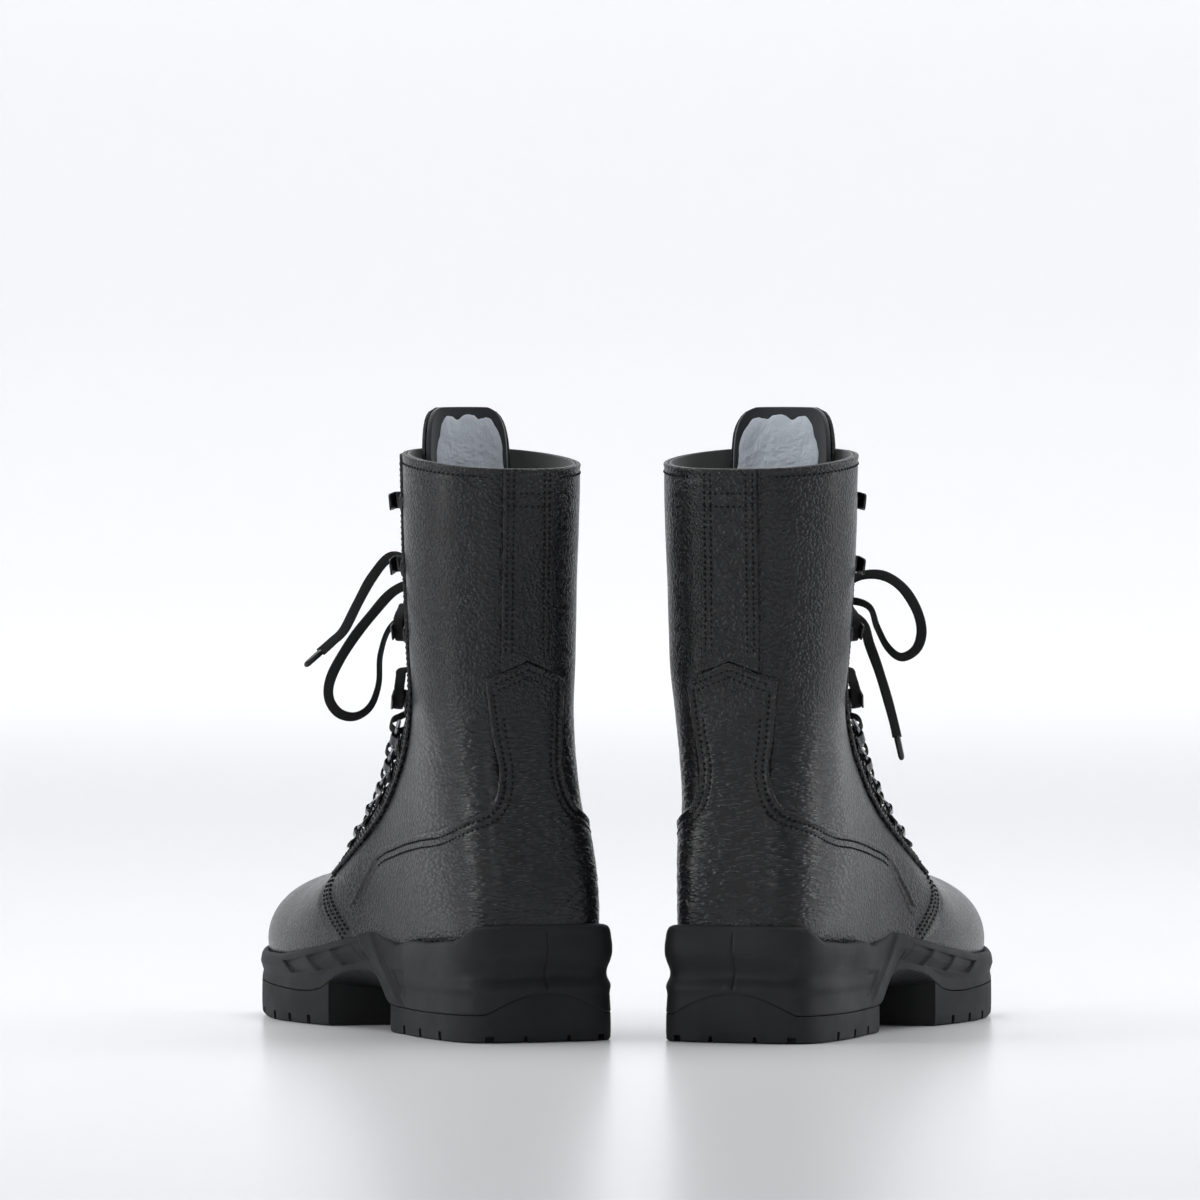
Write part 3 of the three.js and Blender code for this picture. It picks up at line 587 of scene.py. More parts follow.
def leather_material(name, color, pebble, depth, shine, gloss_noise=0.1, creased=True, mirror=0.4):
    """Full-grain leather: pebbles of a size in mm, pulled into sideways wrinkles in the mesh's zone."""
    material, tree, surface = shader(name, color, shine, Coat_Weight=0.12, Coat_Roughness=0.22,
                                     Specular_IOR_Level=mirror)
    scale = 1 / (pebble * MM)
    warp = node(tree, "ShaderNodeVectorMath", operation="MULTIPLY_ADD")
    wobble = node(tree, "ShaderNodeTexNoise", Scale=scale * 0.35, Detail=2.0)
    place = coordinates(tree)
    join(place, wobble.inputs["Vector"])
    join(wobble.outputs["Color"], warp.inputs[0])
    warp.inputs[1].default_value = (0.9 * pebble * MM,) * 3
    join(place, warp.inputs[2])

    def pebbles(stretch, size):
        mapping = node(tree, "ShaderNodeMapping", Scale=stretch)
        join(warp.outputs["Vector"], mapping.inputs["Vector"])
        cells = node(tree, "ShaderNodeTexVoronoi", Scale=scale / size, feature="SMOOTH_F1",
                     Smoothness=0.35, Randomness=1.0)
        join(mapping.outputs["Vector"], cells.inputs["Vector"])
        return ramp(tree, cells.outputs["Distance"], [(0.0, grey(1)), (0.3, grey(0.85)), (0.62, grey(0))])

    height = pebbles((1, 1, 1), 1.0)
    if creased:
        zone = node(tree, "ShaderNodeAttribute", attribute_name="zone")
        wrinkles = pebbles((0.42, 0.42, 1.35), 1.15)        # wide and low
        height = mixed(tree, zone.outputs["Fac"], height, wrinkles)
    fine = noise_node(tree, place, scale * 3.2, 3.0)
    soft = noise_node(tree, place, 55.0, 3.0)
    normal = bumped(tree, height, depth * MM, 0.9)
    normal = bumped(tree, fine, 0.04 * MM, 0.5, normal)
    join(normal, surface.inputs["Normal"])
    # Base colour: painted shade darkens the valleys between the pebbles and wrinkles and a painted highlight
    # lightens their tops, mixed half and half with slow random tone.
    shade = mixed(tree, 0.5, height, soft)
    join(ramp(tree, shade, [(0.2, tinted(color, 0.25)), (0.75, tinted(color, 1.4))]),
         surface.inputs["Base Color"])
    rough = mixed(tree, 0.45, soft, height)
    join(ramp(tree, rough, [(0.2, grey(shine + gloss_noise)), (0.8, grey(shine - gloss_noise))]),
         surface.inputs["Roughness"])
    return material


def grained_material(name, color, roughness, grain, depth, variation=0.35, **sockets):
    """Moulded, sueded or cast surface with a fine grain and slow changes of tone."""
    material, tree, surface = shader(name, color, roughness, **sockets)
    place = coordinates(tree)
    fine = noise_node(tree, place, 1 / (grain * MM), 5.0, 0.65)
    slow = noise_node(tree, place, 28.0, 4.0)
    join(bumped(tree, fine, depth * MM, 0.8), surface.inputs["Normal"])
    shade = mixed(tree, 0.6, fine, slow)
    tones = [(0.3, tinted(color, 1 - variation)), (0.7, tinted(color, 1 + variation))]
    join(ramp(tree, shade, tones), surface.inputs["Base Color"])
    join(ramp(tree, slow, [(0.3, grey(min(roughness + 0.08, 1))), (0.7, grey(roughness - 0.08))]),
         surface.inputs["Roughness"])
    return material


def lace_material():
    """Flat woven lace: ribs that cross in a herringbone, from the UV map in mm."""
    color = (0.006, 0.006, 0.0065)
    material, tree, surface = shader("woven lace", color, 0.8, Sheen_Weight=0.06, Sheen_Roughness=0.4,
                                     Specular_IOR_Level=0.3)
    uv = coordinates(tree, source="UV")
    heights = []
    for slope in (1, -1):
        mapping = node(tree, "ShaderNodeMapping", Rotation=(0, 0, slope * 0.95))
        join(uv, mapping.inputs["Vector"])
        wave = node(tree, "ShaderNodeTexWave", Scale=0.42, Distortion=0.4, wave_type="BANDS")
        join(mapping.outputs["Vector"], wave.inputs["Vector"])
        heights.append(wave.outputs["Fac"])
    most = node(tree, "ShaderNodeMath", operation="MAXIMUM")
    for socket, height in zip(most.inputs, heights):
        join(height, socket)
    fuzz = noise_node(tree, coordinates(tree), 4200.0, 2.0)
    normal = bumped(tree, most.outputs[0], 0.22 * MM, 1.0)
    join(bumped(tree, fuzz, 0.08 * MM, 0.6, normal), surface.inputs["Normal"])
    # Base colour: painted shade darkens the gaps between the ribs and a painted highlight lightens the rib
    # tops.
    join(ramp(tree, most.outputs[0], [(0.35, tinted(color, 0.4)), (0.95, tinted(color, 1.8))]),
         surface.inputs["Base Color"])
    return material


LEATHER_BLACK = (0.0046, 0.0051, 0.0064)
M = {
    "leather": leather_material("pebbled leather", LEATHER_BLACK, 1.8, 0.55, 0.33),
    "vamp": leather_material("smooth leather", (0.009, 0.0095, 0.011), 1.3, 0.2, 0.3, 0.07, False, 0.5),
    "tongue": leather_material("soft leather", (0.01, 0.0105, 0.012), 1.4, 0.3, 0.5, creased=False),
    "suede": grained_material("suede lining", (0.05, 0.058, 0.052), 0.92, 0.5, 0.12,
                              Sheen_Weight=0.5, Sheen_Roughness=0.5),
    "dark_suede": grained_material("tongue suede", (0.028, 0.032, 0.036), 0.9, 0.5, 0.15,
                                   Sheen_Weight=0.6, Sheen_Roughness=0.5),
    "fleece": grained_material("fleece", (0.7, 0.755, 0.83), 0.95, 0.8, 0.7, 0.14,
                               Sheen_Weight=0.4, Sheen_Roughness=0.6),
    "cup": grained_material("moulded polyurethane", (0.0085, 0.009, 0.0105), 0.6, 0.4, 0.05, 0.25,
                            Specular_IOR_Level=0.35),
    "rubber": grained_material("tread rubber", (0.008, 0.0084, 0.0095), 0.66, 0.45, 0.06, 0.25,
                               Specular_IOR_Level=0.35),
    "thread": grained_material("thread", (0.003, 0.003, 0.0033), 0.8, 0.12, 0.03, 0.3,
                               Specular_IOR_Level=0.25),
    "enamel": grained_material("black enamel", (0.006, 0.006, 0.007), 0.3, 0.8, 0.02, 0.2,
                               Coat_Weight=0.35, Coat_Roughness=0.15),
    "nickel": grained_material("nickel plate", (0.22, 0.225, 0.245), 0.3, 0.6, 0.01, 0.15, Metallic=1.0),
    "plastic": grained_material("lace tip", (0.008, 0.008, 0.009), 0.28, 0.9, 0.015, 0.2, Coat_Weight=0.3),
    "board": grained_material("fibre board", (0.25, 0.2, 0.12), 0.9, 0.5, 0.1),
    "steel": grained_material("spring steel", (0.5, 0.5, 0.52), 0.35, 0.3, 0.01, 0.1, Metallic=1.0),
    "lace": lace_material(),
}


def tag_zone(obj, values):
    attribute = obj.data.attributes.new("zone", "FLOAT", "POINT")
    attribute.data.foreach_set("value", np.asarray(values, np.float32))


def zone_of(obj, boot):
    """How far each vertex lies in the creased back of the ankle, in the boot's own frame."""
    co = np.array([v.co for v in obj.data.vertices], float).reshape(-1, 3) / MM
    x = co[:, 0] - TO_CENTRE[0] - boot["back"][0]
    y = co[:, 1] - TO_CENTRE[1] - boot["back"][1]
    angle = math.radians(-boot["side"] * boot["toe_out"])
    forward = -math.sin(angle) * x + math.cos(angle) * y
    height = co[:, 2]
    zone = (1 - smooth(50, 105, forward)) * smooth(52, 66, height) * (1 - smooth(135, 190, height))
    tag_zone(obj, zone)


# ---------------------------------------------------------------- sole
def outline_at(s):
    n = len(OUTLINE)
    s = np.asarray(s, float) % 1
    ring = np.concatenate([OUTLINE[-2:], OUTLINE, OUTLINE[:3]])
    return spline(ring, 2 + s * n)


def wall_points(s, inset, z):
    along = unit(outline_at(s + 0.002) - outline_at(s - 0.002))
    at = outline_at(s)
    x = at[..., 0] - along[..., 1] * inset
    y = at[..., 1] + along[..., 0] * inset
    return np.stack([x, y, np.broadcast_to(z, x.shape)], axis=-1)


def toe_spring(y):
    return 6 * smooth(232, 330, y)


# Lower edge of the cup along the foot: heel block, arch and tread.
CUP_LOW = np.array([
    [0, 14], [60, 13.4], [100, 13.6], [109, 14.2], [116, 16], [122, 21.5], [128, 27.5], [134, 30], [145, 30],
    [158, 28.2], [166, 26], [173, 22.5], [180, 19], [190, 17.3], [205, 16.8], [235, 18], [265, 19.5],
    [304, 23],
], float)


def heel_arc(s):
    """The heel insert's upper line rises to the middle of the back."""
    around = np.minimum(s % 1, 1 - s % 1) * 28 * 22
    return 10.4 * np.cos(np.clip(around / 45, 0, 1) * math.pi / 2) ** 1.5


def line_distance(y, z, line):
    """Distance of each point to a broken line, all in side view."""
    best = np.full(np.shape(y), 1e9)
    for (y0, z0), (y1, z1) in zip(line[:-1], line[1:]):
        t = np.clip(((y - y0) * (y1 - y0) + (z - z0) * (z1 - z0)) / ((y1 - y0) ** 2 + (z1 - z0) ** 2), 0, 1)
        best = np.minimum(best, np.hypot(y - mix(y0, y1, t), z - mix(z0, z1, t)))
    return best


PANEL_LOW = np.array([[120, 36], [140, 34.8], [161, 31.5], [184, 27.6], [211, 25.4], [300, 25]], float)
PANEL_HIGH = np.array([[120, 46], [152, 43], [171, 39.2], [193, 35.1], [216, 31.5], [300, 30]], float)
PANEL_LINES = [140, 161, 184, 211]
CHEVRON = [(141, 50), (127, 36.5), (114, 24), (103, 15), (92, 8)]


def cup_relief(s, y, z, top):
    """Outward relief of the cup's wall, in mm."""
    heel = 1 - smooth(55, 112, y)
    made = heel * (-2.4 * bump(z, 34.5, 9.5) + 0.5 * bump(z, 47, 7))
    made += 0.9 * bump(z, 27.5, 5) * heel
    # raised chevron from the peak down to the heel, with a crease behind it
    far = line_distance(y, z, CHEVRON)
    made += 1.5 * (1 - smooth(4.2, 6.2, far)) * smooth(12, 18, z)
    made -= 0.5 * bump(far, 7.2, 1.4) * (y < 140)
    # slanting steps along the forefoot
    low, high = table(PANEL_LOW, y), table(PANEL_HIGH, y)
    share = (z - low) / np.maximum(high - low, 1)
    forward = y - 11 * np.clip(share, 0, 1)
    step = np.zeros_like(y)
    for start, end in zip(PANEL_LINES[:-1], PANEL_LINES[1:]):
        within = smooth(start - 0.5, start + 0.5, forward) * (1 - smooth(end - 0.9, end, forward))
        step += within * (0.2 + 1.6 * np.clip((forward - start) / (end - start), 0, 1))
    made -= step * smooth(-0.04, 0.08, share) * (1 - smooth(0.92, 1.04, share))
    made -= 0.7 * bump(forward, 140, 1.2) * smooth(0, 0.1, share) * (1 - smooth(0.9, 1, share))
    # three-cornered dent in front of the heel
    dent = smooth(84, 88, y - (z - 20) * 0.2) * (1 - smooth(97, 98.5, y - (z - 20) * 0.75))
    made -= 1.1 * dent * smooth(19.5, 21, z) * (1 - smooth(30, 33, z))
    # seam up the middle of the back
    around = np.minimum(s % 1, 1 - s % 1) * 28 * 20
    made -= 0.7 * bump(around, 0, 0.9) * smooth(25, 28, z) * (1 - smooth(54, 56.5, z))
    made += 0.5 * bump(around, 2.2, 3.2) * bump(z, 28, 3.5)
    made += 0.12 * noise(s * 28 * 1.3, z / 9, 5)
    made -= 2.6 * (1 - np.sqrt(np.clip(1 - (1 - np.clip((top - z) / 3.2, 0, 1)) ** 2, 0, 1)))
    return made


def wall_inset(share):
    return np.interp(share, [0, 0.28, 0.6, 1], [1.2, 1.9, 0.4, 1.4])


def strip_solid(loops):
    """A closed solid through loops of points; loops that have fallen flat close it by themselves."""
    stations, count = loops.shape[:2]
    faces = grid_faces(stations, count, close_columns=True)
    flat = [np.ptp(loops[k][:, 0]) < 0.5 for k in (0, -1)]
    if not flat[0]:
        faces.append(tuple(range(count))[::-1])
    if not flat[1]:
        faces.append(tuple((stations - 1) * count + k for k in range(count)))
    return loops.reshape(-1, 3), faces


def make_cup(name, boot):
    columns = 420
    rows = 64
    s = np.linspace(0, 0.5, columns)
    height = np.linspace(0, 1, rows)

    def wall(at):
        y = outline_at(at)[:, 1]
        low = table(CUP_LOW, y) + heel_arc(at)
        top = table(CUP_TOP, y)
        z = low[:, None] + (top - low)[:, None] * height[None, :]
        yy = np.broadcast_to(y[:, None], z.shape)
        ss = np.broadcast_to(at[:, None], z.shape)
        relief = cup_relief(ss, yy, z, top[:, None])
        edge = 0.45 * (1 - np.clip((z - low[:, None]) / 0.7, 0, 1)) ** 2
        return wall_points(ss, wall_inset(height)[None, :] - relief + edge, z), low, top

    outer, low, top = wall(s)
    inner, _, _ = wall(-s % 1)
    rim = []
    for inset, down in ((4.6, 0.15), (6.6, 1.4), (9.5, 6)):
        rim.append((wall_points(s, inset, top - down), wall_points(-s % 1, inset, top - down)))
    floor = 9
    across = np.linspace(0, 1, 15)
    y = outline_at(s)[:, 1]
    belly = np.interp(y, [100, 118, 140, 165, 180], [0, 10, 12, 8, 0])
    under = []
    for t in across[1:-1]:
        middle = math.sin(t * math.pi) ** 0.7
        point = mix(outer[:, 0], inner[:, 0], t)
        wave = np.sin((point[:, 1] + 0.8 * np.abs(point[:, 0])) * 2 * math.pi / 5.5)
        rib = 0.7 * wave * smooth(0.2, 0.6, middle)
        point[:, 2] = mix(outer[:, 0, 2], inner[:, 0, 2], t) - belly * middle + rib * (belly > 1)
        under.append(point)
    inside = []
    for t in np.linspace(0, 1, 5)[1:-1]:
        point = mix(rim[-1][1], rim[-1][0], t)
        point[:, 2] -= floor * 0.3
        inside.append(point)
    loop = [outer[:, k] for k in range(rows)] + [r[0] for r in rim] + inside[::-1]
    loop += [r[1] for r in rim[::-1]] + [inner[:, k] for k in range(rows - 1, -1, -1)] + under[::-1]
    return solid(name, boot, strip_solid(np.stack(loop, axis=1)), "cup", 55)


def cut_boxes(obj, boot, boxes):
    """Cuts a set of boxes, given as (middle, half sizes, turn about up) in the boot's frame."""
    made = bmesh.new()
    for middle, half, turn in boxes:
        corners = np.array([[i, j, k] for i in (-1, 1) for j in (-1, 1) for k in (-1, 1)], float) * half
        c, s = math.cos(turn), math.sin(turn)
        corners = corners @ np.array([[c, s, 0], [-s, c, 0], [0, 0, 1]]) + middle
        verts = [made.verts.new(tuple(p)) for p in placed(boot, corners)]
        for face in ((0, 1, 3, 2), (4, 6, 7, 5), (0, 4, 5, 1), (2, 3, 7, 6), (0, 2, 6, 4), (1, 5, 7, 3)):
            made.faces.new([verts[k] for k in face])
    bmesh.ops.recalc_face_normals(made, faces=made.faces)
    mesh = bpy.data.meshes.new("cutter")
    made.to_mesh(mesh)
    made.free()
    cutter = linked("cutter", mesh)
    modifier = obj.modifiers.new("notches", "BOOLEAN")
    modifier.operation = "DIFFERENCE"
    modifier.solver = "MANIFOLD"
    modifier.object = cutter
    apply_modifiers(obj)
    bpy.data.objects.remove(cutter)


def apply_modifiers(obj):
    bpy.context.view_layer.update()
    ready = obj.evaluated_get(bpy.context.evaluated_depsgraph_get())
    mesh = bpy.data.meshes.new_from_object(ready)
    obj.modifiers.clear()
    old = obj.data
    obj.data = mesh
    bpy.data.meshes.remove(old)


def make_tread(name, boot, start, end, boxes):
    """A block of the outsole between two places along the foot."""
    s = np.linspace(0, 0.5, 260)
    y = outline_at(s)[:, 1]
    s = s[(y >= start) & (y <= end)]
    height = np.array([0, 0.06, 0.3, 0.6, 1.0])

    def wall(at):
        y = outline_at(at)[:, 1]
        top = table(CUP_LOW, y) + heel_arc(at) - 0.35
        bottom = toe_spring(y)
        z = bottom[:, None] + (top - bottom)[:, None] * height[None, :]
        inset = np.array([2.3, 1.35, 1.15, 1.15, 1.25])
        return wall_points(np.broadcast_to(at[:, None], z.shape), np.broadcast_to(inset, z.shape), z)

    outer, inner = wall(s), wall(-s % 1)
    rows = len(height)
    loop = [outer[:, k] for k in range(rows)]
    loop += [mix(outer[:, -1], inner[:, -1], t) for t in (0.25, 0.5, 0.75)]
    loop += [inner[:, k] for k in range(rows - 1, -1, -1)]
    loop += [mix(inner[:, 0], outer[:, 0], t) for t in (0.25, 0.5, 0.75)]
    block = solid(name, boot, strip_solid(np.stack(loop, axis=1)), "rubber", 35)
    cut_boxes(block, boot, boxes)
    return block


def make_sole(name, boot):
    made = [make_cup(name + "_cup", boot)]
    heel = []
    for y in (36, 62, 88):
        for side in (-1, 1):
            heel.append(((side * 38, y, 0), (22, 1.6, 4.6), 0))
    for at, turn in ((-30, 0.5), (-12, 0.15), (12, -0.15), (30, -0.5)):
        heel.append(((at, 2 + abs(at) * 0.12, 0), (2.2, 2.2, 3.2), math.pi / 4 + turn))
    heel.append(((0, 56, 0), (10, 2, 3.5), 0))
    made.append(make_tread(name + "_heel_block", boot, -5, 110, heel))
    fore = []
    for k, y in enumerate((192, 213, 234, 255, 274)):
        for side in (-1, 1):
            fore.append(((side * 40, y, toe_spring(y)), (27, 1.7, 4.6), 0))
    for k, y in enumerate((181, 203, 224, 245, 265)):
        fore.append(((0, y, toe_spring(y)), (17, 1.6, 3.6), 0.35 if k % 2 else -0.35))
    made.append(make_tread(name + "_tread_block", boot, 171, 310, fore))
    return made


# ---------------------------------------------------------------- leather panels
def step_count(length, coarse=1.4):
    return max(int(length / (coarse * 1)), 6)


def vamp_seam(u):
    return mix(6.3, 5.1, smooth(0.3, 0.75, np.abs(u)))


def folded(u):
    """The same place round a section, from -1 to 1."""
    return np.where(u > 1, 2 - u, u)


def creases(base, strength=1.0):
    """Sideways wrinkles of the ankle and slow waves of the shaft."""
    x, y, z = base[..., 0], base[..., 1], base[..., 2]
    ankle = (1 - smooth(50, 100, y)) * smooth(56, 70, z) * (1 - smooth(135, 185, z))
    wander = 3.5 * noise(x / 17, z / 30, 3)
    fold = 1 - np.abs(noise(x / 19 + 7, (z + wander) / 3.4, 11))
    fine = 1 - np.abs(noise(x / 9, (z + wander) / 1.9, 12))
    made = strength * ankle * (0.3 * (fold - 0.6) + 0.16 * (fine - 0.6))
    shaft = smooth(150, 200, z)
    made += 0.5 * shaft * noise((x + y) / 42, z / 26, 21) * (1 - smooth(262, 284, z))
    return made


def uneven(depth, across, up, seed):
    """A relief of slow lumps, their sizes given in mm."""
    def relief(base, *_):
        return depth * noise(base[..., 0] / across, base[..., 2] / up, seed)
    return relief


def groove(distance, at, depth=0.28, width=1.3):
    return -depth * bump(distance, at, width)


def distances(points, line):
    """Distance of each point of a grid to a line of close points."""
    flat = points.reshape(-1, 3)
    best = np.full(len(flat), 1e9)
    for start in range(0, len(line), 64):
        part = line[start:start + 64]
        for begin in range(0, len(flat), 20000):
            chunk = flat[begin:begin + 20000]
            far = np.linalg.norm(chunk[:, None] - part[None], axis=2).min(axis=1)
            best[begin:begin + 20000] = np.minimum(best[begin:begin + 20000], far)
    return best.reshape(points.shape[:-1])


def nearest_place(last, target, u, v):
    """The places on the last nearest to points in space, from first guesses."""
    for _ in range(8):
        here = last.point(u, v)
        du = (last.point(u + 0.002, v) - here) / 0.002
        dv = (last.point(u, v + 0.01) - here) / 0.01
        off = target - here
        a, b, c = np.sum(du * du, -1), np.sum(du * dv, -1), np.sum(dv * dv, -1)
        p, q = np.sum(du * off, -1), np.sum(dv * off, -1)
        scale = np.maximum(a * c - b * b, 1e-9)
        u = u + np.clip((p * c - q * b) / scale, -0.05, 0.05)
        v = np.clip(v + np.clip((q * a - p * b) / scale, -0.5, 0.5), 0, 18)
    return u, v


def beside(last, u, v, distance):
    """A row of places kept at a distance from an edge, to the left of its direction seen from outside."""
    here = last.point(u, v)
    along = unit(np.gradient(here, axis=0))
    across = unit(np.cross(last.normal(u, v), along))
    return nearest_place(last, here + across * distance, u, v)


def make_vamp(name, boot, last):
    columns, rows = step_count(230, 1.6), step_count(150, 1.6)
    b = np.concatenate([[0, 0.006, 0.013], np.linspace(0.02, 1, rows)])
    a, b = lattice(np.linspace(0, 1, columns), b)
    u = mix(0.14, 2 - 0.14, a)
    v = mix(0.02, vamp_seam(folded(u)) + 0.12, np.maximum(b - 0.02, 0) / 0.98)
    closing = np.clip(b / 0.02, 0, 1)

    def relief(base, u, v):
        x, y, z = base[..., 0], base[..., 1], base[..., 2]
        flex = bump(y, 212, 30) * smooth(55, 80, z)
        made = 0.35 * flex * noise(x / 24, y / 7, 31) + 0.25 * noise(x / 30, (y + z) / 24, 32)
        return made - 1.3 * smooth(0.2, 0.02, vamp_seam(folded(u)) - v) * 0.9

    return leather(name, boot, last, u, v, 0.0, 2.0, M["vamp"], relief, 0.3, pinch=np.maximum(closing, 0.01))


def quarter_place(a, b):
    start = vamp_seam(mix(0.15, FACING_EDGE, a)) - 0.02
    v = mix(start, RIM_V, b)
    foot = mix(0.15, 0.0008, smooth(8.5, 10.6, v))
    return mix(foot, FACING_EDGE, a), v


def make_quarter(name, boot, last, side):
    a, b = lattice(spread_steps(step_count(165), 0.008), spread_steps(step_count(235), 0.006))
    u, v = quarter_place(a, b)

    def relief(base, u, v):
        to_rim = edge_distance(base, ["last_column"])
        made = creases(base) + groove(to_rim, 4.6, 0.3) + 0.5 * (1 - smooth(0, 3, to_rim))
        to_seam = edge_distance(base, ["first_column"])
        forward = smooth(0.2, 0.35, np.abs(u))
        stepped = 0.5 * (1 - smooth(2, 14, to_seam))
        return made + forward * (stepped + groove(to_seam, 2.4, 0.25) + groove(to_seam, 8.6, 0.25))

    obj = leather(name, boot, last, side * u, v, 0.0, 2.0, M["leather"], relief, 1.1)
    zone_of(obj, boot)
    return obj


def edge_at(last, places, t):
    """Places at each t along a curve that is smooth in space through a few places."""
    places = np.array(places)
    target = spline(last.point(places[:, 0], places[:, 1]), t)
    return nearest_place(last, target, spline(places[:, 0], t), spline(places[:, 1], t))


def counter_edges(last):
    roof = [last.on_back(0, 190), last.on_back(21, 181)]
    waist = [last.on_back(21, 181), last.on_back(19, 154), last.on_back(17.5, 133),
             last.on_back(23.5, 117), last.on_side(42, 106), last.on_side(76, 102), last.on_side(108, 97),
             last.on_side(136, 88.5), last.on_side(155, 64)]
    foot = [last.on_back(0, 50), last.on_back(7, 50), last.on_back(14, 50), last.on_back(24, 49),
            last.on_back(31, 47), last.on_side(35, 42), last.on_side(75, 38), last.on_side(112, 36),
            last.on_side(136, 36), last.on_side(152, 36)]
    return roof, waist, foot


def make_counter(name, boot, last):
    roof, waist, foot = counter_edges(last)
    # t runs over the roof up to 1, and then from place to place down the waist and along the wing
    t = np.linspace(0, len(waist), 900)
    lower = edge_at(last, waist, np.maximum(t - 1, 0))
    top = np.stack([np.where(t <= 1, np.interp(t, [0, 1], [p[k] for p in roof]), lower[k])
                    for k in (0, 1)], axis=1)
    low = spline(foot, t)
    run = arc_lengths(last.point(top[:, 0], top[:, 1]))
    half = np.linspace(0, run[-1], step_count(run[-1], 1.25))
    half = np.sort(np.append(half, np.interp(1, t, run)))
    top, low = (read_rows(rows, run, half) for rows in (top, low))
    b = np.concatenate([np.linspace(0, 0.97, step_count(112, 1.25)), [0.98, 0.988, 0.994, 1.0]])
    right = low[:, None] + (top - low)[:, None] * b[None, :, None]
    left = right[:0:-1] * [-1, 1]
    grid = np.concatenate([left, right])
    u, v = grid[..., 0], grid[..., 1]
    edge = last.point(np.concatenate([-top[:0:-1, 0], top[:, 0]]), np.concatenate([top[:0:-1, 1], top[:, 1]]))
    edge = resample(edge, 0.6)
    base = last.point(u, v)
    far = distances(base, edge)

    def relief(base, u, v):
        made = creases(base, 1.15) - rounded(far, 0.9)
        made += 0.6 * bump(far, 1.5, 1.5) + groove(far, 3.6, 0.45) + groove(far, 7.2, 0.45)
        return made

    obj = leather(name, boot, last, u, v, 1.9, 1.9, M["leather"], relief, 0.05)
    zone_of(obj, boot)
    return obj


def back_edge(last, v, half):
    s = last.section(v)
    return np.arcsin(np.clip(half / s[:, 4], 0, 1) ** (1 / s[:, 7])) / math.pi


def make_backstay(name, boot, last):
    b = spread_steps(step_count(100), 0.012)
    a = spread_steps(step_count(27), 0.04)
    across = HALF_BACKSTAY * (2 * a - 1)
    start = np.array([last.on_back(abs(x), 190.4 - abs(x) * 9 / 21)[1] for x in across])
    v = mix(start[:, None], 17.0, b[None, :])
    u = np.sign(across)[:, None] * np.array([back_edge(last, row, abs(x)) for row, x in zip(v, across)])

    def relief(base, u, v):
        far = edge_distance(base, ["first_row", "last_row"])
        made = 0.8 * creases(base) + groove(far, 2.2, 0.35, 1.1) + groove(far, 5.2, 0.35, 1.1)
        top = edge_distance(base, ["last_column"])
        return made + groove(top, 5, 0.25)

    return leather(name, boot, last, u, v, 1.7, 1.7, M["leather"], relief, 0.9)


def facing_strip(name, boot, last, side):
    """The strip of leather that carries the hooks and clips."""
    v = mix(5.2, 16.96, spread_steps(step_count(225), 0.006))
    back = last.behind_edge(side, v, FACING_WIDTH)
    front = last.behind_edge(side, v, 0.4)
    a = spread_steps(step_count(21, 1.2), 0.045)
    u = mix(back[None, :], front[None, :], a[:, None])
    v = np.broadcast_to(v[None, :], u.shape)

    def relief(base, u, v):
        far = edge_distance(base, ["first_row"])
        near = edge_distance(base, ["last_row"])
        made = groove(far, 2.0, 0.25, 1.1) + groove(far, 4.6, 0.25, 1.1) + groove(near, 1.8, 0.2, 1.0)
        return made

    return leather(name, boot, last, u, v, 2.3, 2.3, M["leather"], relief, 0.9)


def make_linings(name, boot, last):
    a, b = lattice(np.linspace(0, 1, step_count(340, 2.5)), spread_steps(step_count(235, 2.5), 0.006))
    u, v = quarter_place(np.abs(2 * a - 1), b)
    relief = uneven(0.15, 9, 9, 61)
    shaft = leather(name + "_shaft_lining", boot, last, np.where(a < 0.5, -u, u), v, -2.1, 1.5, M["suede"],
                    relief, 0.7)
    a, b = lattice(np.linspace(0, 1, step_count(230, 3)), np.linspace(0, 1, step_count(150, 3)))
    u = mix(0.14, 1.86, a)
    v = mix(0.75, vamp_seam(folded(u)) - 0.03, b)
    vamp = leather(name + "_vamp_lining", boot, last, u, v, -3.2, 1.4, M["suede"], relief, 0.7)
    return shaft, vamp


def tongue_half(v):
    rounding = (1 - np.clip((v - 16.7) / 0.94, 0, 1) ** 3.4) ** 0.3
    return mix(0.12, 0.205, smooth(5, 9, v)) * rounding


def make_tongue(name, boot, last):
    """One piece of leather from the vamp to its loose top."""
    v = np.concatenate([np.linspace(4.95, 14.4, step_count(190, 2)),
                        np.linspace(14.45, 17.62, step_count(65, 1.2))])
    a, v = lattice(spread_steps(step_count(50, 1.5), 0.03), v)
    half = tongue_half(v)
    piece = leather(name, boot, last, 1 + mix(-half, half, a), v, TONGUE_OUTSIDE, LEATHER, M["tongue"],
                    uneven(0.5, 12, 9, 71), 1.0, True)
    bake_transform(piece)
    return piece


def leaf_place(a, b):
    half = 0.2 * (1 - np.clip((b - 0.66) / 0.345, 0, 1) ** 3.4) ** 0.3
    return 1 + mix(-half, half, a), mix(LEAF_BASE_V + 0.05, 17.62, b)


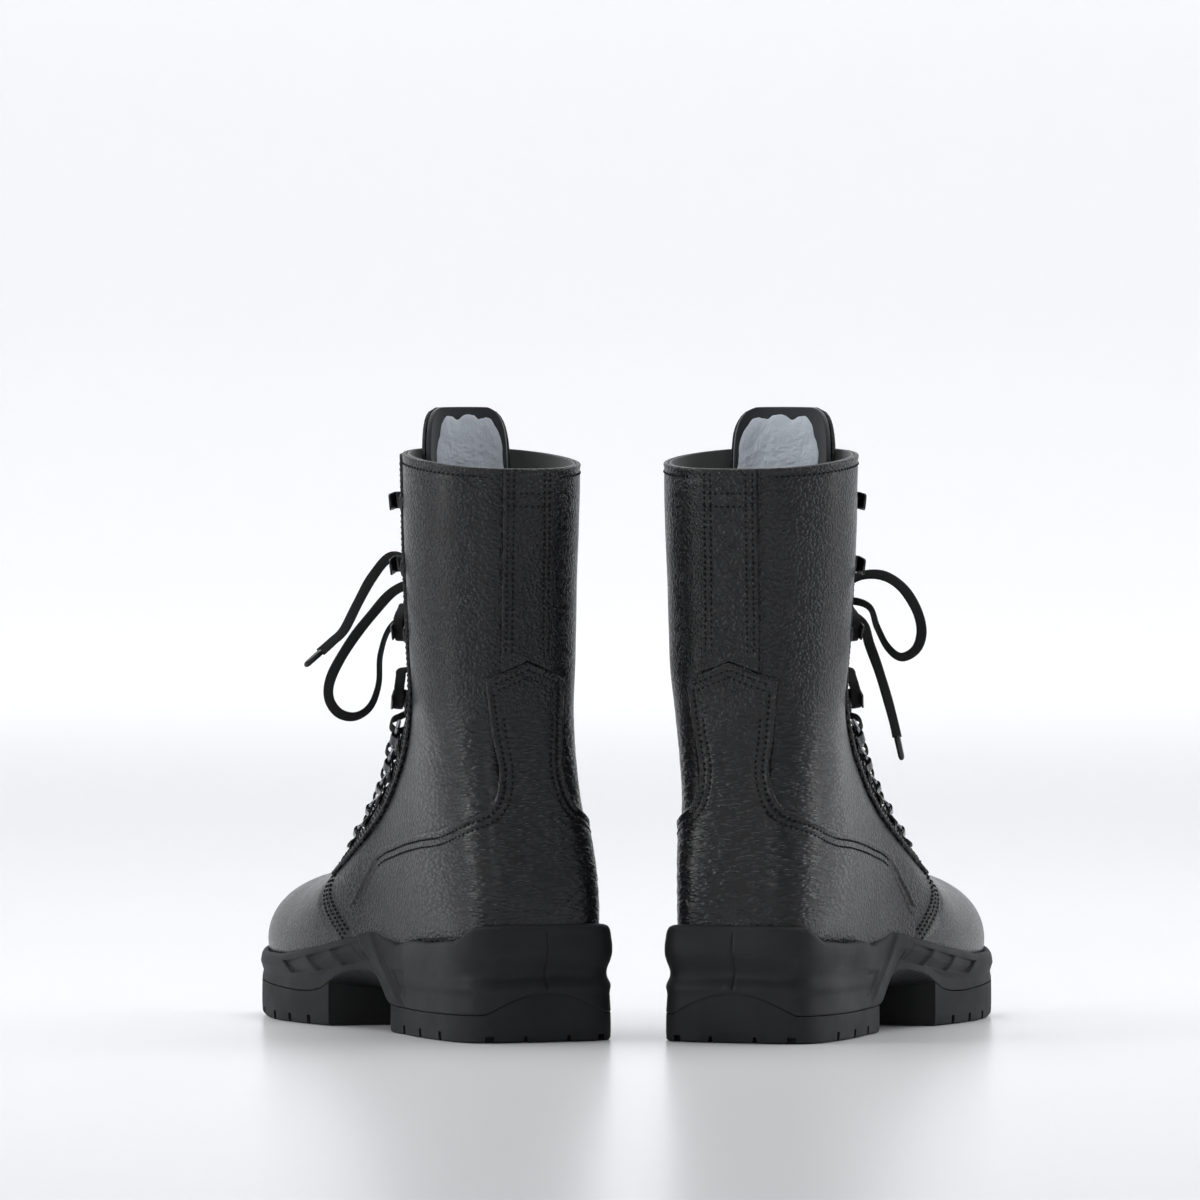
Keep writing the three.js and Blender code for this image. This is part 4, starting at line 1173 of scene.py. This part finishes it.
def make_leaf(name, boot, last):
    """The padded back of the tongue's loose top, and its fleece with a ragged edge on the shaft side."""
    u, v = leaf_place(*lattice(spread_steps(step_count(52), 0.03), spread_steps(step_count(55), 0.03)))
    back = leather(name + "_tongue_leaf_back", boot, last, u, v, TONGUE_OUTSIDE - 2.1, 2.9, M["dark_suede"],
                   None, 1.4, True)
    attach(back, boot["leaf"])
    rings, around = ((44, 200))
    turn = turns(around)
    share = np.linspace(0, 1, rings)
    ragged = 1 + 0.13 * noise(turn * 2.2, turn * 0 + 3, 81) + 0.09 * noise(turn * 7, turn * 0, 82)
    squared = (np.abs(np.cos(turn)) ** 5 + np.abs(np.sin(turn)) ** 5) ** (-1 / 5)
    reach = share[:, None] * (squared * (1 + 0.6 * (ragged - 1)))[None, :]
    a = 0.57 + 0.36 * np.cos(turn)[None, :] * reach
    b = 0.48 + 0.44 * np.sin(turn)[None, :] * reach
    u, v = leaf_place(a, np.clip(b, 0.02, 0.97))
    base = last.point(u, v)
    out = -last.normal(u, v)
    depth = TONGUE_OUTSIDE - 5.0
    tufts = 1 + 0.22 * noise(a * 20, b * 18, 83) + 0.2 * noise(a * 60, b * 52, 84)
    tuft = 1.3 * (1 - share ** 8)[:, None] * tufts
    top = base + out * (-depth + tuft)[..., None]
    low = base + out * (-depth - 0.4)
    points = np.concatenate([top.reshape(-1, 3), low.reshape(-1, 3)])
    edge, total = (rings - 1) * around, rings * around
    faces = grid_faces(rings, around, close_columns=True)
    faces += [f[::-1] for f in grid_faces(rings, around, total, close_columns=True)]
    for k in range(edge, total):
        n = edge + (k + 1) % around
        faces.append((k, n, n + total, k + total))
    return back, solid(name + "_fleece", boot, (points, faces), "fleece", 80, boot["leaf"])


# ---------------------------------------------------------------- stitching
def stitch_solids(points, normals, pitch, long, radius):
    """A capsule for each stitch along a line, its ends sunk in the leather."""
    both = np.concatenate([points, normals], axis=1)
    run = arc_lengths(points)
    count = max(int(run[-1] / pitch), 1)
    at = (np.arange(count) + 0.5) * run[-1] / count
    spots = np.array([-1, -0.75, 0, 0.75, 1]) * long / 2
    rows = read_rows(both, run, at[:, None] + spots[None, :])
    normal = unit(rows[..., 3:])
    along = unit(rows[:, -1, :3] - rows[:, 0, :3])[:, None, :]
    across = unit(np.cross(normal, along))
    sink = np.array([-1.1, -0.1, 0.25, -0.1, -1.1]) * radius
    centre = rows[..., :3] + normal * sink[None, :, None]
    size = np.array([0.45, 0.9, 1, 0.9, 0.45]) * radius
    turn = np.arange(6) * math.pi / 3
    ring = np.cos(turn)[:, None] * across[:, :, None] + np.sin(turn)[:, None] * normal[:, :, None]
    made = centre[:, :, None] + ring * size[None, :, None, None]
    one = pipe_faces(5, 6)
    faces = [tuple(30 * k + i for i in face) for k in range(count) for face in one]
    return made.reshape(-1, 3), faces


def stitches(name, boot, last, rows, pitch=2.9, long=1.7, radius=0.52):
    """Rows of stitches along lines of places, each with its own lift."""
    made = []
    for u, v, lift in rows:
        made.append(stitch_solids(last.lifted(u, v, np.full(np.shape(u), float(lift))), last.normal(u, v),
                                  pitch, long, radius))
    return solid(name, boot, merged(made), "thread", 60)


def make_stitching(name, boot, last):
    made = []
    # rim of the shaft
    rows = []
    for side in (-1, 1):
        u = side * np.linspace(0.125, FACING_EDGE - 0.1, 160)
        v = np.full(u.shape, RIM_V)
        rows.append((*beside(last, u, v, side * -4.6), -0.1))
    made.append(stitches(name + "_rim_stitching", boot, last, rows))
    # backstay
    start = last.on_back(HALF_BACKSTAY, 193)[1]
    v = np.linspace(start + 0.05, 16.95, 90)
    rows = []
    for side in (-1, 1):
        for inset in (2.2, 5.2):
            rows.append((side * back_edge(last, v, HALF_BACKSTAY - inset), v, 1.5))
    top = back_edge(last, np.array([16.6]), 12.5)[0]
    for level in (16.62, 16.42):
        rows.append((np.linspace(-top, top, 30), np.full(30, level), 1.6))
    made.append(stitches(name + "_backstay_stitching", boot, last, rows))
    # counter
    roof, waist, _ = counter_edges(last)
    rows = []
    for side in (-1, 1):
        for inset in (3.6, 7.2):
            for part in (roof, waist):
                u, v = edge_at(last, part, np.linspace(0, len(part) - 1, 26 * len(part)))
                u, v = beside(last, u, v, -inset)
                trim = slice(3, -9) if part is roof else slice(3 * int(inset), -30)
                rows.append((side * u[trim], v[trim], 1.62))
    made.append(stitches(name + "_counter_stitching", boot, last, rows))
    # seam between the quarters and the vamp
    rows = []
    for side in (-1, 1):
        a = np.linspace(0.38, 0.985, 120)
        for inset in (2.4, 5.5, 8.6):
            u, v = quarter_place(a, np.zeros(a.shape))
            u, v = beside(last, u, v, inset)
            rows.append((side * u, v, 0.42))
    made.append(stitches(name + "_vamp_stitching", boot, last, rows))
    # facings
    rows = []
    v = np.linspace(5.45, 16.8, 200)
    for side in (-1, 1):
        for inset in (FACING_WIDTH - 2.0, FACING_WIDTH - 4.6, 2.2):
            rows.append((last.behind_edge(side, v, inset), v, 2.15))
        zigzag = np.linspace(0, 1, 19)
        level = 5.55 + 0.16 * (np.arange(19) % 2)
        places = [last.behind_edge(side, h, mix(3, 18, t)) for h, t in zip(level, zigzag)]
        rows.append((np.array(places), level, 2.3))
    made.append(stitches(name + "_facing_stitching", boot, last, rows))
    return made


# ---------------------------------------------------------------- lacing hardware
def bent_sheet(path, widths, thickness):
    """A strip of sheet metal bent along a line of (x, z) points, its width along y, with soft edges."""
    path = np.asarray(path, float)
    along = unit(np.gradient(path, axis=0))
    out = np.stack([-along[:, 1], along[:, 0]], axis=1)
    share = np.array([-1, -0.93, -0.8, 0, 0.8, 0.93, 1])
    drop = np.array([0.45, 0.12, 0, 0, 0, 0.12, 0.45])
    layers = []
    for sign in (1, -1):
        at = path[:, None] + out[:, None] * (sign * thickness * (0.5 - 0.5 * drop))[None, :, None]
        y = widths[:, None] / 2 * share[None, :]
        layers.append(np.stack([at[..., 0], y, at[..., 1]], axis=-1))
    return slab(*layers)


def rounded_path(corners, radius, spacing=0.35):
    """A line through corners, each replaced by an arc."""
    corners = np.asarray(corners, float)
    made = [corners[0]]
    for before, here, after in zip(corners[:-2], corners[1:-1], corners[2:]):
        into, out = unit(here - before), unit(after - here)
        reach = min(radius, 0.48 * np.linalg.norm(here - before), 0.48 * np.linalg.norm(after - here))
        for t in np.linspace(0, 1, 9):
            a, b = here - into * reach * (1 - t), here + out * reach * t
            made.append(mix(a, b, t))
    made.append(corners[-1])
    return resample(np.array(made), spacing)


def rivet(x, z, radius, height, sides=16):
    rings = [(radius, 0), (radius, height * 0.35), (radius * 0.85, height * 0.75), (radius * 0.5, height),
             (radius * 0.2, height * 0.95)]
    turn = np.arange(sides) * 2 * math.pi / sides
    points = [[x + r * c, r * s, z + h] for r, h in rings for c, s in zip(np.cos(turn), np.sin(turn))]
    return np.array(points), pipe_faces(len(rings), sides)


def set_in(solid, origin, axes):
    points, faces = solid
    return origin + points @ axes, faces


def ends_in(count, wide, tip, length_share=0.12):
    """Widths along a strip, rounded off at both ends."""
    t = np.linspace(0, 1, count)
    near = np.clip(np.minimum(t, 1 - t) / length_share, 0, 1)
    return wide * (tip + (1 - tip) * np.sqrt(1 - (1 - near) ** 2))


def hook_solids():
    path = rounded_path([[-6.5, 0.55], [3.6, 0.55], [3.6, 7.2], [-2.6, 7.9], [-4.2, 7.0]], 1.7)
    plate = bent_sheet(path, ends_in(len(path), 8.6, 0.35, 0.1), 1.05)
    return [plate, rivet(-2.4, 1.05, 2.1, 0.9)]


def clip_solids():
    turn = np.linspace(-math.pi * 0.5, math.pi * 0.98, 22)
    r = 2.15
    wrap = np.stack([r * np.cos(turn), BAR_HEIGHT + r * np.sin(turn)], axis=1)
    tail = [[-2.4, 1.9], [-3.4, 0.75], [-6, 0.45], [-9.5, 0.45]]
    path = resample(np.concatenate([wrap, tail]), 0.35)
    strap = bent_sheet(path, ends_in(len(path), 6.4, 0.5, 0.08), 0.75)
    foot = resample(np.array([[-9.0, -0.2], [2.2, -0.2]]), count=30)
    base = bent_sheet(foot, ends_in(30, 6.8, 0.5), 0.7)
    return [strap, base, rivet(-6.2, 0.8, 1.8, 0.75)]


def ring_solid():
    turn = turns(72)
    wide = np.sign(np.sin(turn)) * np.abs(np.sin(turn)) ** 0.75 * RING_HALF
    reach = np.maximum(np.cos(turn), 0) ** 0.8 * RING_REACH
    line = np.stack([reach, wide, np.zeros(72)], axis=1)
    line = resample(np.concatenate([line, line[:1]]), count=81)[:-1]
    return tube(line, RING_WIRE, 10, close=True)


def on_facing(last, side, z, inset, above=0.0):
    return last.frame(*last.hardware_at(side, z, inset), FACING_TOP + above)


def make_hardware(name, boot, last):
    made = {}
    for side_name, side in (("outer", 1), ("inner", -1)):
        solids = []
        for z in RING_HEIGHTS:
            origin, axes = on_facing(last, side, z, RING_INSET)
            solids += [set_in(s, origin, axes) for s in clip_solids()]
        for z in HOOK_HEIGHTS:
            origin, axes = on_facing(last, side, z, HOOK_INSET, -0.45)
            solids += [set_in(s, origin, axes) for s in hook_solids()]
        made[side_name] = solid(f"{name}_hardware_{side_name}", boot, merged(solids), "enamel", 35)
        for i, z in enumerate(RING_HEIGHTS):
            origin, axes = on_facing(last, side, z, RING_INSET, BAR_HEIGHT)
            cad = f"{name}_ring_{side_name}_{i + 1}"
            ring = solid(f"{name}_d_ring_{side_name}_{i + 1}", boot, set_in(ring_solid(), origin, axes),
                         "nickel", 60, cad)
            stands_for(ring, "ring", cad)
    return made


# ---------------------------------------------------------------- laces
def ribbon(name, boot, line, wides, width=LACE_WIDTH, thick=LACE_THICK, close=False):
    """A flat woven lace along a line of points, its width along wides, with UVs in mm."""
    line, wides = np.asarray(line, float), np.asarray(wides, float)
    n = len(line)
    along = unit(np.roll(line, -1, 0) - np.roll(line, 1, 0)) if close else unit(np.gradient(line, axis=0))
    across = unit(wides - along * np.sum(wides * along, axis=1, keepdims=True))
    out = unit(np.cross(along, across))
    sides = 14
    turn = turns(sides)
    x = np.sign(np.cos(turn)) * np.abs(np.cos(turn)) ** 0.45 * width / 2
    z = np.sign(np.sin(turn)) * np.abs(np.sin(turn)) ** 0.7 * thick / 2
    run = arc_lengths(line)
    weave = 1 + 0.025 * np.sin(run * 2 * math.pi / 1.6)
    points = line[:, None] + across[:, None] * (x[None, :] * weave[:, None])[..., None]
    points = points + out[:, None] * z[None, :, None]
    obj = solid(name, boot, (points.reshape(-1, 3), pipe_faces(n, sides, close)), "lace", 60)
    layer = obj.data.uv_layers.new(name="weave")
    uv = np.stack([np.tile(x, n), np.repeat(run, sides)], axis=1).astype(np.float32)
    loops = np.empty(len(obj.data.loops), np.int32)
    obj.data.loops.foreach_get("vertex_index", loops)
    if len(obj.data.vertices) == n * sides:
        layer.data.foreach_set("uv", uv[loops].ravel())
    return obj


def curve_through(points, spacing):
    points = np.asarray(points, float)
    dense = spline(points, np.linspace(0, len(points) - 1, 40 * (len(points) - 1) + 1))
    return resample(dense, spacing)


def round_ring(origin, axes):
    mid = BAR_HEIGHT
    spots = [[RING_REACH + 2.5, mid - LACE_LOOP], [RING_REACH - 2, mid - 3.2], [RING_REACH - 4.3, mid],
             [RING_REACH - 2, mid + 3.4], [RING_REACH + 2.5, mid + LACE_LOOP]]
    return [(origin + np.array([x, 0, z]) @ axes, axes[1].copy()) for x, z in spots]


def round_hook(origin, axes, up):
    spots = [[14, -7.4], [8, -7.2], [3.5, -7], [-0.2, -4.9], [-0.2, 4.9], [3.5, 7], [8, 7.2], [14, 7.4]]
    return [(origin + np.array([x, up * y, 4.3]) @ axes, axes[2].copy()) for x, y in spots]


def lace_stations(last):
    def half(side):
        stops = []
        heights = RING_HEIGHTS + HOOK_HEIGHTS[:2]
        here = side
        for i, z in enumerate(heights):
            is_ring = i < len(RING_HEIGHTS)
            origin, axes = on_facing(last, here, z, RING_INSET if is_ring else HOOK_INSET)
            up = 1 if axes[1][2] > 0 else -1
            stops += round_ring(origin, axes) if is_ring else round_hook(origin, axes, up)
            if i < len(heights) - 1:
                _, v = last.hardware_at(here, (z + heights[i + 1]) / 2, 0)
                wide = last.point(1, v + 0.1) - last.point(1, v)
                stops.append((last.lifted(1, v, 4 + 1.5 * side), unit(wide)))
            here = -here
        end = np.array([-here * (KNOT[0] + 1.2), KNOT_AT[1] - 3, KNOT_AT[2] - 4.5])
        stops.append((end, np.array([0.0, 0, 1])))
        return stops

    stops = half(-1)[::-1] + half(1)
    for k in range(1, len(stops)):
        if stops[k][1] @ stops[k - 1][1] < 0:
            stops[k] = (stops[k][0], -stops[k][1])
    return stops


def filled_in(stops, longest=5.0):
    """The same stations with more on the long runs, so that a curve through them doesn't swing out."""
    made = [stops[0]]
    for (a, wide_a), (b, wide_b) in zip(stops[:-1], stops[1:]):
        steps = int(np.linalg.norm(b - a) / longest) + 1
        made += [(mix(a, b, k / steps), mix(wide_a, wide_b, k / steps)) for k in range(1, steps + 1)]
    return made


def make_lace(name, boot, last):
    stops = filled_in(lace_stations(last))
    t = np.linspace(0, len(stops) - 1, (len(stops) - 1) * 4 + 1)
    line = spline(np.array([s[0] for s in stops]), t)
    wides = read_rows(np.array([s[1] for s in stops]), np.arange(len(stops)), t)
    return ribbon(name + "_threaded_lace", boot, line, wides)


def aglet(name, boot, points):
    before, tip = np.array(points[-2], float), np.array(points[-1], float)
    along = unit(tip - before)
    shape = [(0, 1.35), (0.5, 1.62), (1.5, 1.7), (10.2, 1.6), (11.6, 1.35), (12.3, 0.9), (12.5, 0.4)]
    line = np.array([tip + along * (s - 0.4) for s, _ in shape])
    tip_piece = solid(name, boot, tube(line, [r for _, r in shape], 20), "plastic", 50)
    return tip_piece


def make_bow(name, boot):
    for kind in ("loops", "ends"):
        for which, points in zip(("outer", "inner"), BOW[name][kind]):
            line = curve_through(points, 1.5)
            along = unit(np.gradient(line, axis=0))
            turn = 1.0 + 0.2 * np.sin(np.linspace(0, 5, len(line)))[:, None]
            level = unit(np.cross(along, [0, 1.0, 0]))
            wides = np.cos(turn) * np.array([0, 1.0, 0]) + np.sin(turn) * level
            piece = f"{name}_bow_{'loop' if kind == 'loops' else 'end'}_{which}"
            cord = ribbon(piece, boot, line, wides)
            tips = []
            if kind == "ends":
                tips = [aglet(f"{name}_lace_tip_{which}", boot, points)]
                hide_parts(f"{name}_aglet_{which}")
            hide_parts(f"{name}_bow")
    # knot: a folded core with the lace wrapped over its middle
    rows, sides = 26, 30
    a = np.linspace(-math.pi / 2 + 0.1, math.pi / 2 - 0.1, rows)
    b = turns(sides)
    a, b = lattice(a, b)
    fold = 1 + 0.09 * np.cos(3 * b + 2.2 * a) + 0.05 * np.cos(7 * a)
    core = np.stack([KNOT[0] * 0.95 * np.sin(a), 0.82 * KNOT[1] * np.cos(a) * np.cos(b) * fold,
                     0.85 * KNOT[2] * np.cos(a) * np.sin(b) * fold], axis=-1) + KNOT_AT
    knot = solid(name + "_knot", boot, (core.reshape(-1, 3), pipe_faces(rows, sides)), "lace", 60)
    turn = turns(60)
    band = np.stack([1.2 * np.sin(turn + 0.5), 3.7 * np.cos(turn), 5.0 * np.sin(turn)], axis=1) + KNOT_AT
    wrap = ribbon(name + "_knot_wrap", boot, band, np.tile([1.0, 0, 0], (60, 1)), 5.0, 1.1, close=True)
    stands_for((knot, wrap), "lace", f"{name}_bow")


# ---------------------------------------------------------------- inside
def make_footbed(name, boot):
    """The layer under the foot, a smaller copy of the outline that follows the foot line."""
    s = np.linspace(0, 0.5, 120)
    foot = np.array([[r[0], r[1]] for r in SECTIONS[:11]][::-1])

    def level(at, up):
        p = outline_at(at)
        forward = mix(150, p[:, 1], 0.82)
        z = table(foot, forward) + up
        return np.stack([p[:, 0] * 0.5, forward, z], axis=-1)

    ups = [9.8, 12.2, 12.7]
    outer = [level(s, up) for up in ups]
    inner = [level(-s % 1, up) for up in ups]
    across = np.linspace(0, 1, 9)[1:-1]
    loop = outer + [mix(outer[-1], inner[-1], t) for t in across]
    loop += inner[::-1] + [mix(inner[0], outer[0], t) for t in across]
    return solid(name, boot, strip_solid(np.stack(loop, axis=1)), "suede", 40)


# ---------------------------------------------------------------- assembly
def stands_for(pieces, slot, *cad):
    """Hides the CAD nodes that a piece or several pieces stand for; slot is not used."""
    for piece in pieces if isinstance(pieces, (list, tuple)) else [pieces]:
        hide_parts(*cad)


LASTS = {}
for name, boot in BOOTS.items():
    boot["body"] = name + "_boot"
    boot["leaf"] = name + "_tongue_leaf"
    LASTS[name] = Last(boot)
    make_bow(name, boot)

for name, boot in BOOTS.items():
    last = LASTS[name]
    stands_for(make_lace(name, boot, last), "lace", name + "_lace")
    cup, *blocks = make_sole(name, boot)
    stands_for(cup, "foam", name + "_midsole")
    stands_for(blocks, "rubber", name + "_outsole")
    stands_for(make_vamp(name + "_vamp_leather", boot, last), "vamp_leather", name + "_vamp")
    hardware = make_hardware(name, boot, last)
    for side_name, side in (("outer", 1), ("inner", -1)):
        quarter = make_quarter(f"{name}_quarter_leather_{side_name}", boot, last, side)
        stands_for(quarter, "leather", f"{name}_quarter_{side_name}")
        strip = facing_strip(f"{name}_facing_strip_{side_name}", boot, last, side)
        stands_for(strip, "leather", f"{name}_facing_{side_name}")
        stands_for(hardware[side_name], "hardware", f"{name}_facing_{side_name}")
    stands_for(make_counter(name + "_counter_leather", boot, last), "leather", name + "_heel_counter")
    stands_for(make_backstay(name + "_backstay_leather", boot, last), "leather", name + "_backstay")
    for part, piece in zip(("shaft", "vamp"), make_linings(name, boot, last)):
        stands_for(piece, "lining", f"{name}_{part}_lining")
    tongue = make_tongue(name + "_tongue_leather", boot, last)
    stands_for(tongue, "tongue", name + "_tongue", name + "_tongue_leaf")
    stands_for(make_leaf(name, boot, last), "tongue", name + "_tongue_leaf")
    stands_for(make_footbed(name + "_foot_bed", boot), "lining", name + "_footbed")
    for piece in make_stitching(name, boot, last):
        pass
    for cad, material in (("shank", "steel"), ("insole_board", "board")):
        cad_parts[f"{name}_{cad}"].material_slots[0].material = M[material]


# ---------------------------------------------------------------- floor, backdrop and light
def make_stage():
    """A round floor that sweeps up into a pale wall on all sides; the wall glows with painted light,
    brightest behind the boots' toes.
    """
    floor, tree, surface = shader("studio floor", (0.92, 0.922, 0.935), 0.26, Specular_IOR_Level=0.35,
                                  Emission_Color=(0.97, 0.98, 1, 1))
    # Painted light: the floor and wall emit light that grows from none at 3.8 m from a point in front of the
    # boots to 0.27 at 10 m.
    out = node(tree, "ShaderNodeVectorMath", operation="DISTANCE")
    out.inputs[1].default_value = (0, -3, 0)
    join(coordinates(tree), out.inputs[0])
    glow = node(tree, "ShaderNodeMapRange")
    glow_span = (3.8, 10.0, 0.0, 0.27)          # from and to a distance, from and to a strength
    for socket, value in zip(list(glow.inputs)[1:5], glow_span):
        socket.default_value = value
    join(out.outputs["Value"], glow.inputs["Value"])
    join(glow.outputs["Result"], surface.inputs["Emission Strength"])
    flat, sweep, height, sides, under = 6.4, 1.4, 5.0, 96, 0.0002
    profile = [(2.0, 0.0), (4.0, 0.0), (flat, 0.0)]
    for t in np.linspace(0, math.pi / 2, 14)[1:]:
        profile.append((flat + sweep * math.sin(t), sweep - sweep * math.cos(t)))
    profile.append((flat + sweep, height))
    turn = turns(sides)
    points = [(r * math.cos(t), r * math.sin(t), z - under) for r, z in profile for t in turn]
    faces = [tuple(range(sides))]
    faces += [f[::-1] for f in grid_faces(len(profile), sides, close_columns=True)]
    mesh = bpy.data.meshes.new("studio")
    mesh.from_pydata(points, [], faces)
    mesh.materials.append(floor)
    mesh.shade_smooth()
    linked("studio", mesh)


# name: place, target, size, watts
LIGHTS = {
    "top softbox": ((0, 0.5, 2.8), (0, 0.1, 0.1), (3.0, 2.2), 56),
    "left softbox": ((-2.4, -0.5, 1.0), (0, 0.1, 0.12), (0.9, 1.6), 19),
    "right softbox": ((2.4, 0.5, 1.0), (0, 0.1, 0.12), (1.0, 1.6), 14),
    "back fill": ((-0.7, -3.2, 1.0), (0, 0, 0.12), (0.3, 0.9), 5),
    "backdrop light": ((0, 4.6, 3.6), (0, 7.8, 0.6), (5.0, 1.0), 52),
}


def area_light(name, place, target, size, power):
    data = bpy.data.lights.new(name, "AREA")
    data.shape = "RECTANGLE"
    data.size, data.size_y = size
    data.energy = power
    light = linked(name, data)
    light.location = place
    light.rotation_euler = (Vector(target) - Vector(place)).to_track_quat("-Z", "Y").to_euler()


make_stage()
for name, light in LIGHTS.items():
    area_light(name, *light)
world = bpy.data.worlds.new("studio air")
world.use_nodes = True
world.node_tree.nodes["Background"].inputs["Color"].default_value = (0.95, 0.97, 1, 1)
world.node_tree.nodes["Background"].inputs["Strength"].default_value = 0.22
bpy.context.scene.world = world
bpy.context.scene.view_settings.view_transform = "Standard"
